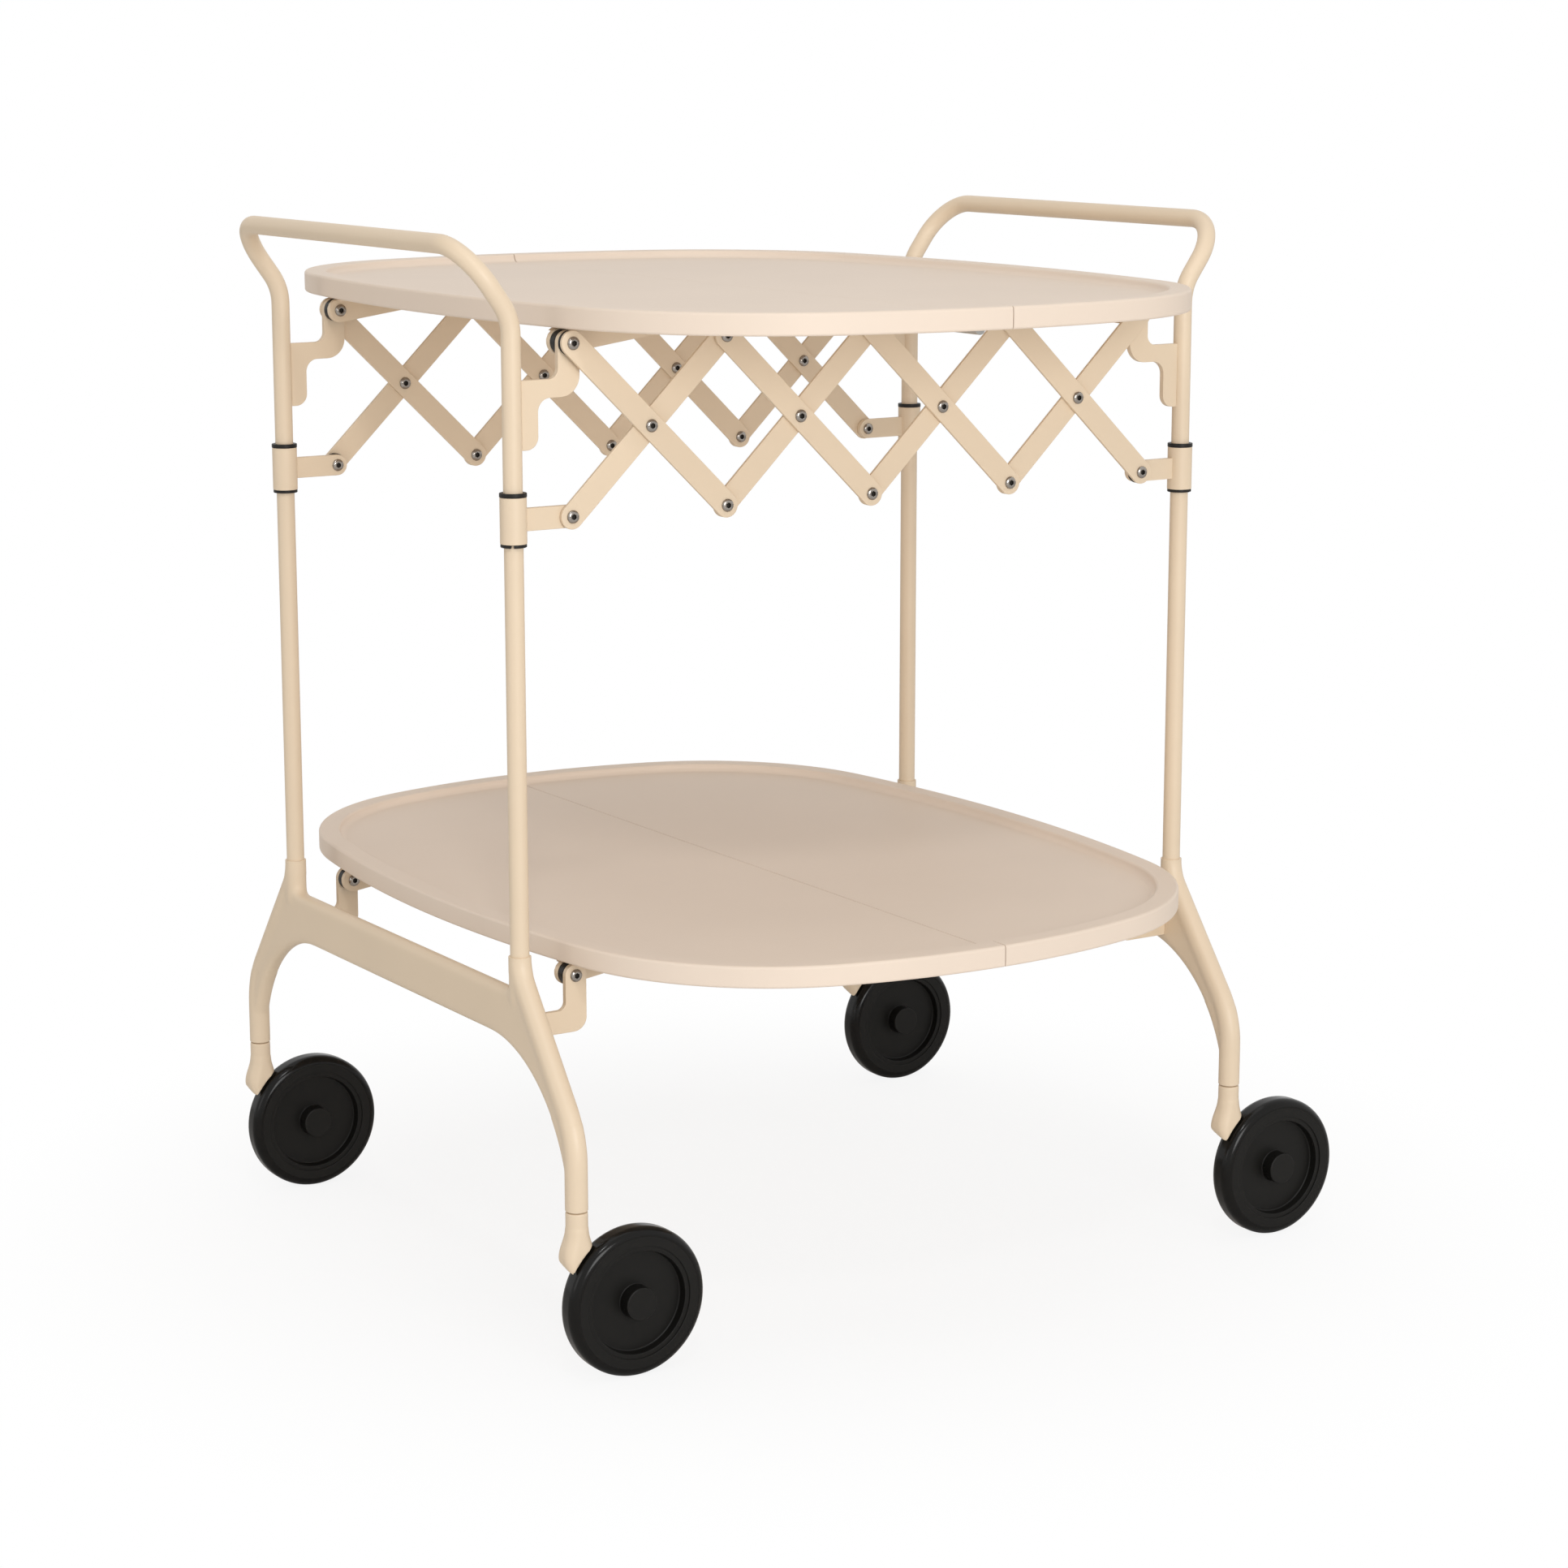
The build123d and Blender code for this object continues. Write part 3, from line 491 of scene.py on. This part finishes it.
# %% Centres of the five arcs
TRAY_END_RADIUS = 417.0 * MM
TRAY_SIDE_RADIUS = 1075.0 * MM
TRAY_CORNER_RADIUS = 157.6 * MM


def arc_centres(half_length, half_width):
    """Centre, turn and radius of each arc round the left leaf, from the seam behind to that in front."""
    end = Vector((middle_x, half_length - TRAY_END_RADIUS))
    side = Vector((middle_x - half_width + TRAY_SIDE_RADIUS, 0))
    from_end = TRAY_END_RADIUS - TRAY_CORNER_RADIUS
    from_side = TRAY_SIDE_RADIUS - TRAY_CORNER_RADIUS
    span = side - end
    along = (from_end ** 2 - from_side ** 2 + span.length ** 2) / (2 * span.length)
    across = math.sqrt(from_end ** 2 - along ** 2)
    unit = span.normalized()
    corner = end + unit * along + Vector((-unit.y, unit.x)) * across
    end_turn = math.atan2(end.x - corner.x, corner.y - end.y)
    side_turn = math.atan2(corner.y, side.x - corner.x)
    corner_turn = QUARTER_TURN - end_turn - side_turn
    front_corner, front_end = Vector((corner.x, -corner.y)), Vector((end.x, -end.y))
    return [(end, end_turn, TRAY_END_RADIUS), (corner, corner_turn, TRAY_CORNER_RADIUS),
            (side, 2 * side_turn, TRAY_SIDE_RADIUS), (front_corner, corner_turn, TRAY_CORNER_RADIUS),
            (front_end, end_turn, TRAY_END_RADIUS)]


# %% One leaf
HALF_SEAM = 0.25 * MM
SEAM_EDGE = 0.35 * MM
SEAM_OVERRUN = 2 * MM
SAME_PLACE = 0.01 * MM
RIM_STEP = 5.0 * MM


def tray_leaf(low, high):
    shape = bmesh.new()
    section = lip_section(shape, high.y, high.z, low.z)
    arcs = arc_centres(high.y, middle_x - low.x)
    lead = SEAM_OVERRUN / TRAY_END_RADIUS
    bmesh.ops.rotate(shape, verts=shape.verts, cent=(*arcs[0][0], 0), matrix=Matrix.Rotation(-lead, 3, "Z"))
    first, last = 0, len(arcs) - 1
    for number, (centre, turn, radius) in enumerate(arcs):
        turn += lead if number in (first, last) else 0
        swept = bmesh.ops.spin(shape, geom=section, cent=(*centre, 0), axis=(0, 0, 1), angle=turn,
                               steps=math.ceil(turn * radius / RIM_STEP))
        section = edges_in(swept["geom_last"])
    seam_x = middle_x - HALF_SEAM
    cut_away(shape, (seam_x, 0, 0), (1, 0, 0))
    close_leaf(shape, seam_x, high.z - RECESS_DEPTH, low.z)
    return shape


def close_leaf(shape, seam_x, floor_height, bottom):
    """Fills the floor, the underside and the seam face, and rounds the edges at the seam."""
    def at_seam(vertex):
        return abs(vertex.co.x - seam_x) < SAME_PLACE

    open_edges = [edge for edge in shape.edges if edge.is_boundary]
    section = [edge for edge in open_edges if all(map(at_seam, edge.verts))]
    for height in (floor_height, bottom):
        run = [edge for edge in open_edges if edge not in section
               and all(abs(vertex.co.z - height) < SAME_PLACE for vertex in edge.verts)]
        ends = {vertex for edge in run for vertex in edge.verts if at_seam(vertex)}
        bridge = shape.edges.new(sorted(ends, key=lambda vertex: vertex.co.y))
        bmesh.ops.contextual_create(shape, geom=[*run, bridge])
        section.append(bridge)
    bmesh.ops.contextual_create(shape, geom=section)
    bmesh.ops.recalc_face_normals(shape, faces=shape.faces)
    round_edges(shape, section, SEAM_EDGE)


# %% [markdown]
# The knuckles of the centre hinges reach into the underside of each leaf, so the mould leaves a
# round relief there. A boolean with a short rod cuts it, and the rest of the leaf stays as it is.

# %% Relief for the hinges
HINGE_LENGTH = 48.8 * MM
HINGE_INSET = 58.0 * MM
KNUCKLE_ROOM = 4.0 * MM
KNUCKLE_SIDES = 48


def relieved(shape, half_length, axis_height):
    rods = bmesh.new()
    for y in (HINGE_INSET - half_length, half_length - HINGE_INSET):
        lie = Matrix.Translation((middle_x, y, axis_height)) @ Matrix.Rotation(QUARTER_TURN, 4, "X")
        bmesh.ops.create_cone(rods, cap_ends=True, segments=KNUCKLE_SIDES, radius1=KNUCKLE_ROOM,
                              radius2=KNUCKLE_ROOM, depth=HINGE_LENGTH, matrix=lie)
    cutter = bpy.data.objects.new("cutter", to_mesh(rods, "cutter"))
    leaf = bpy.data.objects.new("leaf", to_mesh(shape, "leaf"))
    for item in (cutter, leaf):
        bpy.context.scene.collection.objects.link(item)
    relief = leaf.modifiers.new("relief", "BOOLEAN")
    relief.operation = "DIFFERENCE"
    relief.solver = "EXACT"
    relief.object = cutter
    result = bmesh.new()
    result.from_object(leaf, bpy.context.evaluated_depsgraph_get())
    for item in (cutter, leaf):
        bpy.data.objects.remove(item)
    return result


# %% Left and right leaves of both trays
for level in ("upper", "lower"):
    left_node, right_node = f"{level}_left_tray", f"{level}_right_tray"
    low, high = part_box(left_node)
    leaf = relieved(tray_leaf(low, high), high.y, joint_places[f"{level}_centre_hinge"].z)
    finish_piece(to_mesh(leaf.copy(), left_node), f"{level}_left_leaf", left_node, "tray_coat",
                 tray_plastic)
    bmesh.ops.rotate(leaf, verts=leaf.verts, cent=(middle_x, 0, 0),
                     matrix=Matrix.Rotation(HALF_TURN, 3, "Z"))
    finish_piece(to_mesh(leaf, right_node), f"{level}_right_leaf", right_node, "tray_coat", tray_plastic)

# %% [markdown]
# ## Lattice arms
#
# An arm is a flat bar with round ends and three holes. A circle pulled apart at its middle gives
# the outline, three small circles give the holes, and one fill closes the face between them.
# Extruding it and bevelling both rims gives the pressed bar with its softened edges.

# %% Pull, fill, extrude and bevel
ARM_WIDTH = 15.6 * MM
ARM_HOLE = 2.05 * MM
ARM_ROUNDING = 0.45 * MM
ARM_SIDES = 48
ARM_HOLE_SIDES = 20
UPRIGHT_LIMIT = 0.5


def arm_shape(length, thickness):
    """An arm along X, with its middle at the origin and its thickness along Y."""
    shape = bmesh.new()
    half_step = Matrix.Rotation(HALF_TURN / ARM_SIDES, 4, "Z")
    bmesh.ops.create_circle(shape, cap_ends=False, segments=ARM_SIDES, radius=ARM_WIDTH / 2,
                            matrix=half_step)
    for vertex in shape.verts:
        vertex.co.x += math.copysign(length / 2, vertex.co.x)
    outline = set(shape.verts)
    for x in (-length / 2, 0, length / 2):
        bmesh.ops.create_circle(shape, cap_ends=False, segments=ARM_HOLE_SIDES, radius=ARM_HOLE,
                                matrix=Matrix.Translation((x, 0, 0)))
    bmesh.ops.triangle_fill(shape, use_beauty=True, edges=shape.edges)
    rims = [edge for edge in shape.edges if outline.issuperset(edge.verts) and edge.is_boundary]
    grown = bmesh.ops.extrude_face_region(shape, geom=shape.faces[:], use_keep_orig=True)["geom"]
    lifted = verts_in(grown)
    bmesh.ops.translate(shape, verts=list(lifted), vec=(0, 0, thickness))
    far_outline = {edge.other_vert(vertex) for vertex in outline for edge in vertex.link_edges} & lifted
    rims += [edge for edge in shape.edges if far_outline.issuperset(edge.verts)
             and any(abs(face.normal.z) < UPRIGHT_LIMIT for face in edge.link_faces)]
    bmesh.ops.recalc_face_normals(shape, faces=shape.faces)
    round_edges(shape, rims, ARM_ROUNDING, segments=3)
    bmesh.ops.translate(shape, verts=shape.verts, vec=(0, 0, -thickness / 2))
    bmesh.ops.rotate(shape, verts=shape.verts, matrix=Matrix.Rotation(QUARTER_TURN, 3, "X"))
    return shape


# %% All arms
for node in sorted(name for name in frame["nodes"] if "_arm_" in name):
    low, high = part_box(node)
    run, drop = high.x - low.x - ARM_WIDTH, high.z - low.z - ARM_WIDTH
    slope = math.atan2(drop, run) * (1 if "_arm_a" in node else -1)
    shape = arm_shape(math.hypot(run, drop), high.y - low.y)
    bmesh.ops.rotate(shape, verts=shape.verts, matrix=Matrix.Rotation(slope, 3, "Y"))
    bmesh.ops.translate(shape, verts=shape.verts, vec=(low + high) / 2)
    finish_piece(to_mesh(shape, node), node.replace("_arm_", "_lattice_bar_"), node, "frame_coat",
                 frame_coat)

# %% [markdown]
# ## Turned pieces
#
# Bolts and wheels are turned on a lathe. So the half section is drawn as a chain of points, its
# corners are rounded with a vertex bevel, and the chain is spun a full turn. That is easier than
# rounding the finished rims.


# %% Spin a section
def lathe(section, steps, roundings=(), segments=4):
    """section holds (radius, height) points; roundings holds (point number, radius) pairs."""
    shape = bmesh.new()
    places = [(radius, 0, height) for radius, height in section]
    rounded_chain(shape, places, [(number, radius, segments) for number, radius in roundings])
    chain = shape.verts[:] + shape.edges[:]
    bmesh.ops.spin(shape, geom=chain, cent=(0, 0, 0), axis=(0, 0, 1), angle=2 * HALF_TURN, steps=steps,
                   use_merge=True)
    bmesh.ops.remove_doubles(shape, verts=shape.verts, dist=MERGE_DISTANCE)
    bmesh.ops.recalc_face_normals(shape, faces=shape.faces)
    return shape


def set_down(shape, base, direction):
    """Turns a shape that stands along Z to stand at base along direction."""
    turn = Z_AXIS.rotation_difference(direction).to_matrix().to_4x4()
    bmesh.ops.transform(shape, matrix=Matrix.Translation(base) @ turn, verts=shape.verts)
    return shape


# %% [markdown]
# ## Pivot bolts
#
# The pivots are low button heads with a hexagon socket. The dome is turned and left open at the
# top, a hexagon is bridged into the opening, and its middle is pushed down as the socket. The
# socket's faces take a near-black steel, which is painted shade in the recess.

# %% One head
HEAD_RADIUS = 4.1 * MM
HEAD_HEIGHT = 1.6 * MM
SHANK_RADIUS = 2.0 * MM
SOCKET_RIM = 2.3 * MM
SOCKET_RADIUS = 1.9 * MM
SOCKET_DEPTH = 1.2 * MM
SOCKET_CHAMFER = 0.1 * MM
RIM_HEIGHT, CROWN_RADIUS = 0.5 * HEAD_HEIGHT, 0.7 * HEAD_RADIUS
RIM_ROUNDING, CROWN_ROUNDING = 0.45 * MM, 0.7 * MM
HEAD_SIDES, SHANK_SIDES = 36, 20


def button_head():
    dome = [
        (0, 0), (HEAD_RADIUS, 0), (HEAD_RADIUS, RIM_HEIGHT), (CROWN_RADIUS, HEAD_HEIGHT),
        (SOCKET_RIM, HEAD_HEIGHT),
    ]
    shape = lathe(dome, HEAD_SIDES, roundings=((3, CROWN_ROUNDING), (2, RIM_ROUNDING)))
    opening = [edge for edge in shape.edges if edge.is_boundary]
    hexagon = bmesh.ops.create_circle(shape, cap_ends=True, segments=6, radius=SOCKET_RADIUS,
                                      matrix=Matrix.Translation((0, 0, HEAD_HEIGHT - SOCKET_CHAMFER)))
    cap = hexagon["verts"][0].link_faces[0]
    bmesh.ops.bridge_loops(shape, edges=opening + list(cap.edges))
    pushed = bmesh.ops.extrude_discrete_faces(shape, faces=[cap])["faces"][0]
    bmesh.ops.translate(shape, verts=pushed.verts, vec=(0, 0, -SOCKET_DEPTH))
    # The walls and floor of the socket take the second finish, the near-black painted shade.
    for face in {face for edge in pushed.edges for face in edge.link_faces}:
        face.material_index = 1
    return shape


def shank(low_y, high_y, x, z):
    length = high_y - low_y
    bar = lathe([(0, 0), (SHANK_RADIUS, 0), (SHANK_RADIUS, length), (0, length)], SHANK_SIDES)
    return set_down(bar, Vector((x, low_y, z)), Y_AXIS)


# %% All bolts
# A bolt at the middle of the lattice is cut in two at the split between the arms' layers.
SHORT_BOLT = 5.0 * MM
outer_layer, inner_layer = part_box("front_arm_a1"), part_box("front_arm_b1")
layer_split = -(outer_layer[1].y + inner_layer[0].y) / 2

for node in sorted(name for name in frame["nodes"] if name.endswith("bolts")):
    bolts = bmesh.new()
    for low, high in island_boxes(node):
        x, z = (low.x + high.x) / 2, (low.z + high.z) / 2
        middle_y = (low.y + high.y) / 2
        heads = (-1, 1)
        if high.y - low.y < SHORT_BOLT:
            outward = 1 if abs(middle_y) > layer_split else -1
            heads = (int(math.copysign(1, middle_y * outward)),)
        start = low.y + (HEAD_HEIGHT if -1 in heads else 0)
        end = high.y - (HEAD_HEIGHT if 1 in heads else 0)
        join(bolts, shank(start, end, x, z))
        for side in heads:
            seat = Vector((x, end if side == 1 else start, z))
            join(bolts, set_down(button_head(), seat, Y_AXIS * side))
    # The second finish goes on the sockets as painted shade.
    finish_piece(to_mesh(bolts, node), node.replace("bolts", "button_bolts"), node, "steel", bolt_steel,
                 socket_painted_shade)

# %% [markdown]
# ## Castor wheels
#
# The wheel is one black moulding: glossy rounded shoulders, a matte ring with a small step, and a
# recess with a round cap over the axle. It is turned in one chain, and each face takes the glossy
# or the matte finish by its distance from the axle.

# %% Turn the wheels
FACE_DEPTH, BACK_DEPTH = 8.1 * MM, 10.0 * MM
FACE_SHOULDER, BACK_SHOULDER = 5.8 * MM, 7.0 * MM
FACE_RING, FACE_STEP, RECESS_EDGE = 36.3 * MM, 0.8 * MM, 33.2 * MM
RECESS_FLOOR, BACK_FLOOR, BACK_RECESS = 1.9 * MM, 4.4 * MM, 31.8 * MM
CAP_RADIUS, CAP_TOP = 10.7 * MM, 11.1 * MM
HUB_RADIUS, HUB_END = 11.0 * MM, 10.8 * MM
CAP_ROUNDING, CAP_FILLET, FLOOR_FILLET = 0.8 * MM, 0.6 * MM, 0.8 * MM
RECESS_ROUNDING, RING_ROUNDING, BACK_ROUNDING = 0.3 * MM, 0.35 * MM, 0.4 * MM
WHEEL_SIDES, WHEEL_SEGMENTS = 112, 8

for node in sorted(name for name in frame["nodes"] if name.endswith("castor_wheel")):
    axle = joint_places[node.replace("castor_wheel", "wheel_spin")]
    low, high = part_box(node)
    radius = high.z - axle.z
    section = [
        (0, CAP_TOP), (CAP_RADIUS, CAP_TOP), (CAP_RADIUS, RECESS_FLOOR),
        (RECESS_EDGE - FACE_STEP, RECESS_FLOOR), (RECESS_EDGE, FACE_DEPTH - FACE_STEP),
        (FACE_RING, FACE_DEPTH - FACE_STEP), (FACE_RING, FACE_DEPTH), (radius, FACE_DEPTH),
        (radius, -BACK_DEPTH), (BACK_RECESS, -BACK_DEPTH), (BACK_RECESS, -BACK_FLOOR),
        (HUB_RADIUS, -BACK_FLOOR), (HUB_RADIUS, -HUB_END), (0, -HUB_END),
    ]
    roundings = ((1, CAP_ROUNDING), (2, CAP_FILLET), (3, FLOOR_FILLET), (4, RECESS_ROUNDING),
                 (6, RING_ROUNDING), (7, FACE_SHOULDER), (8, BACK_SHOULDER), (9, BACK_ROUNDING),
                 (12, BACK_ROUNDING))
    turned = lathe(section, WHEEL_SIDES, roundings, WHEEL_SEGMENTS)
    wheel_mesh = to_mesh(set_down(turned, axle, -Y_AXIS), node)
    for polygon in wheel_mesh.polygons:
        middle = polygon.center - axle
        polygon.material_index = int(math.hypot(middle.x, middle.z) > radius - FACE_SHOULDER)
    finish_piece(wheel_mesh, node.replace("castor_wheel", "moulded_wheel"), node, "wheel_plastic",
                 wheel_face, wheel_shoulder)

# %% [markdown]
# ## Castor hoods
#
# The cast hood flares from a round neck and is cut away round the wheel. Its copy is remeshed
# like the legs, so that neck, flare and cheek flow into each other.

# %% Hoods
HOOD_VOXEL = 0.55 * MM
HOOD_ROUNDS = 4

for node in sorted(name for name in frame["nodes"] if name.endswith("castor_hood")):
    skin = remeshed(merged_copy(node), HOOD_VOXEL)
    blend_skin(skin, HOOD_ROUNDS, lambda place: True)
    finish_piece(to_mesh(skin, node), node.replace("castor_hood", "cast_hood"), node, "frame_coat",
                 frame_coat)

# %% [markdown]
# ## Floor and world
#
# The floor is plain and pale. To the camera it glows white like the backdrop, so that no horizon
# shows. Near the trolley a part of its real shading is mixed in, and fades out with the distance,
# so that the wheels keep their faint shadow. The world lights everything evenly, and reflections
# see it white.

# %% Floor
FLOOR_SIZE = 30
FLOOR_GREY, FLOOR_ROUGHNESS = 0.86, 0.9
SHADOW_NEAR, SHADOW_FAR = 0.22, 0.62
WHITE_NEAR, WHITE_FAR = 0.84, 1.0

bpy.ops.mesh.primitive_plane_add(size=FLOOR_SIZE)
floor = bpy.context.object
floor.name = "floor"
floor_paint = bpy.data.materials.new("floor_paint")
floor_paint.use_nodes = True
nodes, links = floor_paint.node_tree.nodes, floor_paint.node_tree.links
shaded = nodes["Principled BSDF"]
shaded.inputs["Base Color"].default_value = (FLOOR_GREY, FLOOR_GREY, FLOOR_GREY, 1)
shaded.inputs["Roughness"].default_value = FLOOR_ROUGHNESS
paper = nodes.new("ShaderNodeEmission")
paper.inputs["Strength"].default_value = 1.0
place = nodes.new("ShaderNodeTexCoord")
distance = nodes.new("ShaderNodeVectorMath")
distance.operation = "LENGTH"
links.new(place.outputs["Object"], distance.inputs[0])
fade = nodes.new("ShaderNodeMapRange")
fade.interpolation_type = "SMOOTHSTEP"
fade.inputs["From Min"].default_value = SHADOW_NEAR
fade.inputs["From Max"].default_value = SHADOW_FAR
fade.inputs["To Min"].default_value = WHITE_NEAR
fade.inputs["To Max"].default_value = WHITE_FAR
links.new(distance.outputs["Value"], fade.inputs["Value"])
path = nodes.new("ShaderNodeLightPath")
share = nodes.new("ShaderNodeMath")
share.operation = "MULTIPLY"
links.new(path.outputs["Is Camera Ray"], share.inputs[0])
links.new(fade.outputs["Result"], share.inputs[1])
blend = nodes.new("ShaderNodeMixShader")
links.new(share.outputs["Value"], blend.inputs["Fac"])
links.new(shaded.outputs["BSDF"], blend.inputs[1])
links.new(paper.outputs["Emission"], blend.inputs[2])
links.new(blend.outputs["Shader"], nodes["Material Output"].inputs["Surface"])
floor.data.materials.append(floor_paint)
print("floor", floor.dimensions.x, "m across")

# %% World
AMBIENT_COLOUR, AMBIENT_STRENGTH = (1.0, 0.965, 0.92, 1), 0.55

world = bpy.data.worlds.new("studio")
bpy.context.scene.world = world
world.use_nodes = True
nodes, links = world.node_tree.nodes, world.node_tree.links
ambient = nodes["Background"]
ambient.inputs["Color"].default_value = AMBIENT_COLOUR
ambient.inputs["Strength"].default_value = AMBIENT_STRENGTH
backdrop = nodes.new("ShaderNodeBackground")
backdrop.inputs["Color"].default_value = (1, 1, 1, 1)
backdrop.inputs["Strength"].default_value = 1.0
path = nodes.new("ShaderNodeLightPath")
seen_direct = path.outputs["Is Camera Ray"]
for ray in ("Is Glossy Ray", "Is Transmission Ray"):
    either = nodes.new("ShaderNodeMath")
    either.operation = "MAXIMUM"
    links.new(seen_direct, either.inputs[0])
    links.new(path.outputs[ray], either.inputs[1])
    seen_direct = either.outputs["Value"]
blend = nodes.new("ShaderNodeMixShader")
links.new(seen_direct, blend.inputs["Fac"])
links.new(ambient.outputs["Background"], blend.inputs[1])
links.new(backdrop.outputs["Background"], blend.inputs[2])
links.new(blend.outputs["Shader"], nodes["World Output"].inputs["Surface"])
print("world light", AMBIENT_STRENGTH)

# %% [markdown]
# ## Lamps
#
# In the photograph the light is soft and the shadows are faint. A sun lamp would draw hard ones,
# so square panels stand in for studio soft boxes: three wide ones, and a small key light, which
# draws narrower highlights than they do. Their places and sizes are in metres.


# %% Aim a panel
def soft_lamp(name, place, aim, size, watts):
    lamp = bpy.data.lights.new(name, "AREA")
    lamp.shape = "SQUARE"
    lamp.size = size
    lamp.energy = watts
    holder = bpy.data.objects.new(name, lamp)
    bpy.context.scene.collection.objects.link(holder)
    holder.location = place
    holder.rotation_mode = "QUATERNION"
    holder.rotation_quaternion = (Vector(aim) - Vector(place)).to_track_quat("-Z", "Y")
    print(name, watts, "W")


soft_lamp("front_softbox", (-0.5, -3.1, 1.1), aim=(0, 0, 0.4), size=1.2, watts=35)
soft_lamp("left_softbox", (-3.0, -0.2, 1.2), aim=(0, 0, 0.4), size=1.2, watts=6)
soft_lamp("top_softbox", (0.0, -0.2, 3.0), aim=(0, 0, 0.3), size=2.0, watts=8)
soft_lamp("key_light", (-1.05, -1.7, 2.5), aim=(0, 0, 0.3), size=0.3, watts=9)

# %% [markdown]
# ## Camera
#
# The camera's place, heading and lens were solved from the trolley's own shape: the pivots of the
# lattice, the posts and the wheels. So they are written as real sizes, in millimetres and degrees.

# %% Camera
CAMERA_PLACE = Vector((-1333.54, -2108.61, 817.03)) * MM
CAMERA_HEADING, CAMERA_DIP = math.radians(-32.647), math.radians(11.5515)
SENSOR_WIDTH, LENS = 36, 84.262
TROLLEY_MIDDLE = Vector((0, 0, 0.35))

camera_data = bpy.data.cameras.new("camera")
camera_data.sensor_width = SENSOR_WIDTH
camera_data.lens = LENS
camera = bpy.data.objects.new("camera", camera_data)
bpy.context.scene.collection.objects.link(camera)
camera.location = CAMERA_PLACE
camera.rotation_euler = (QUARTER_TURN - CAMERA_DIP, 0, CAMERA_HEADING)
bpy.context.scene.camera = camera
bpy.context.scene.view_settings.view_transform = "Standard"
print("camera", round((CAMERA_PLACE - TROLLEY_MIDDLE).length, 2), "m away")
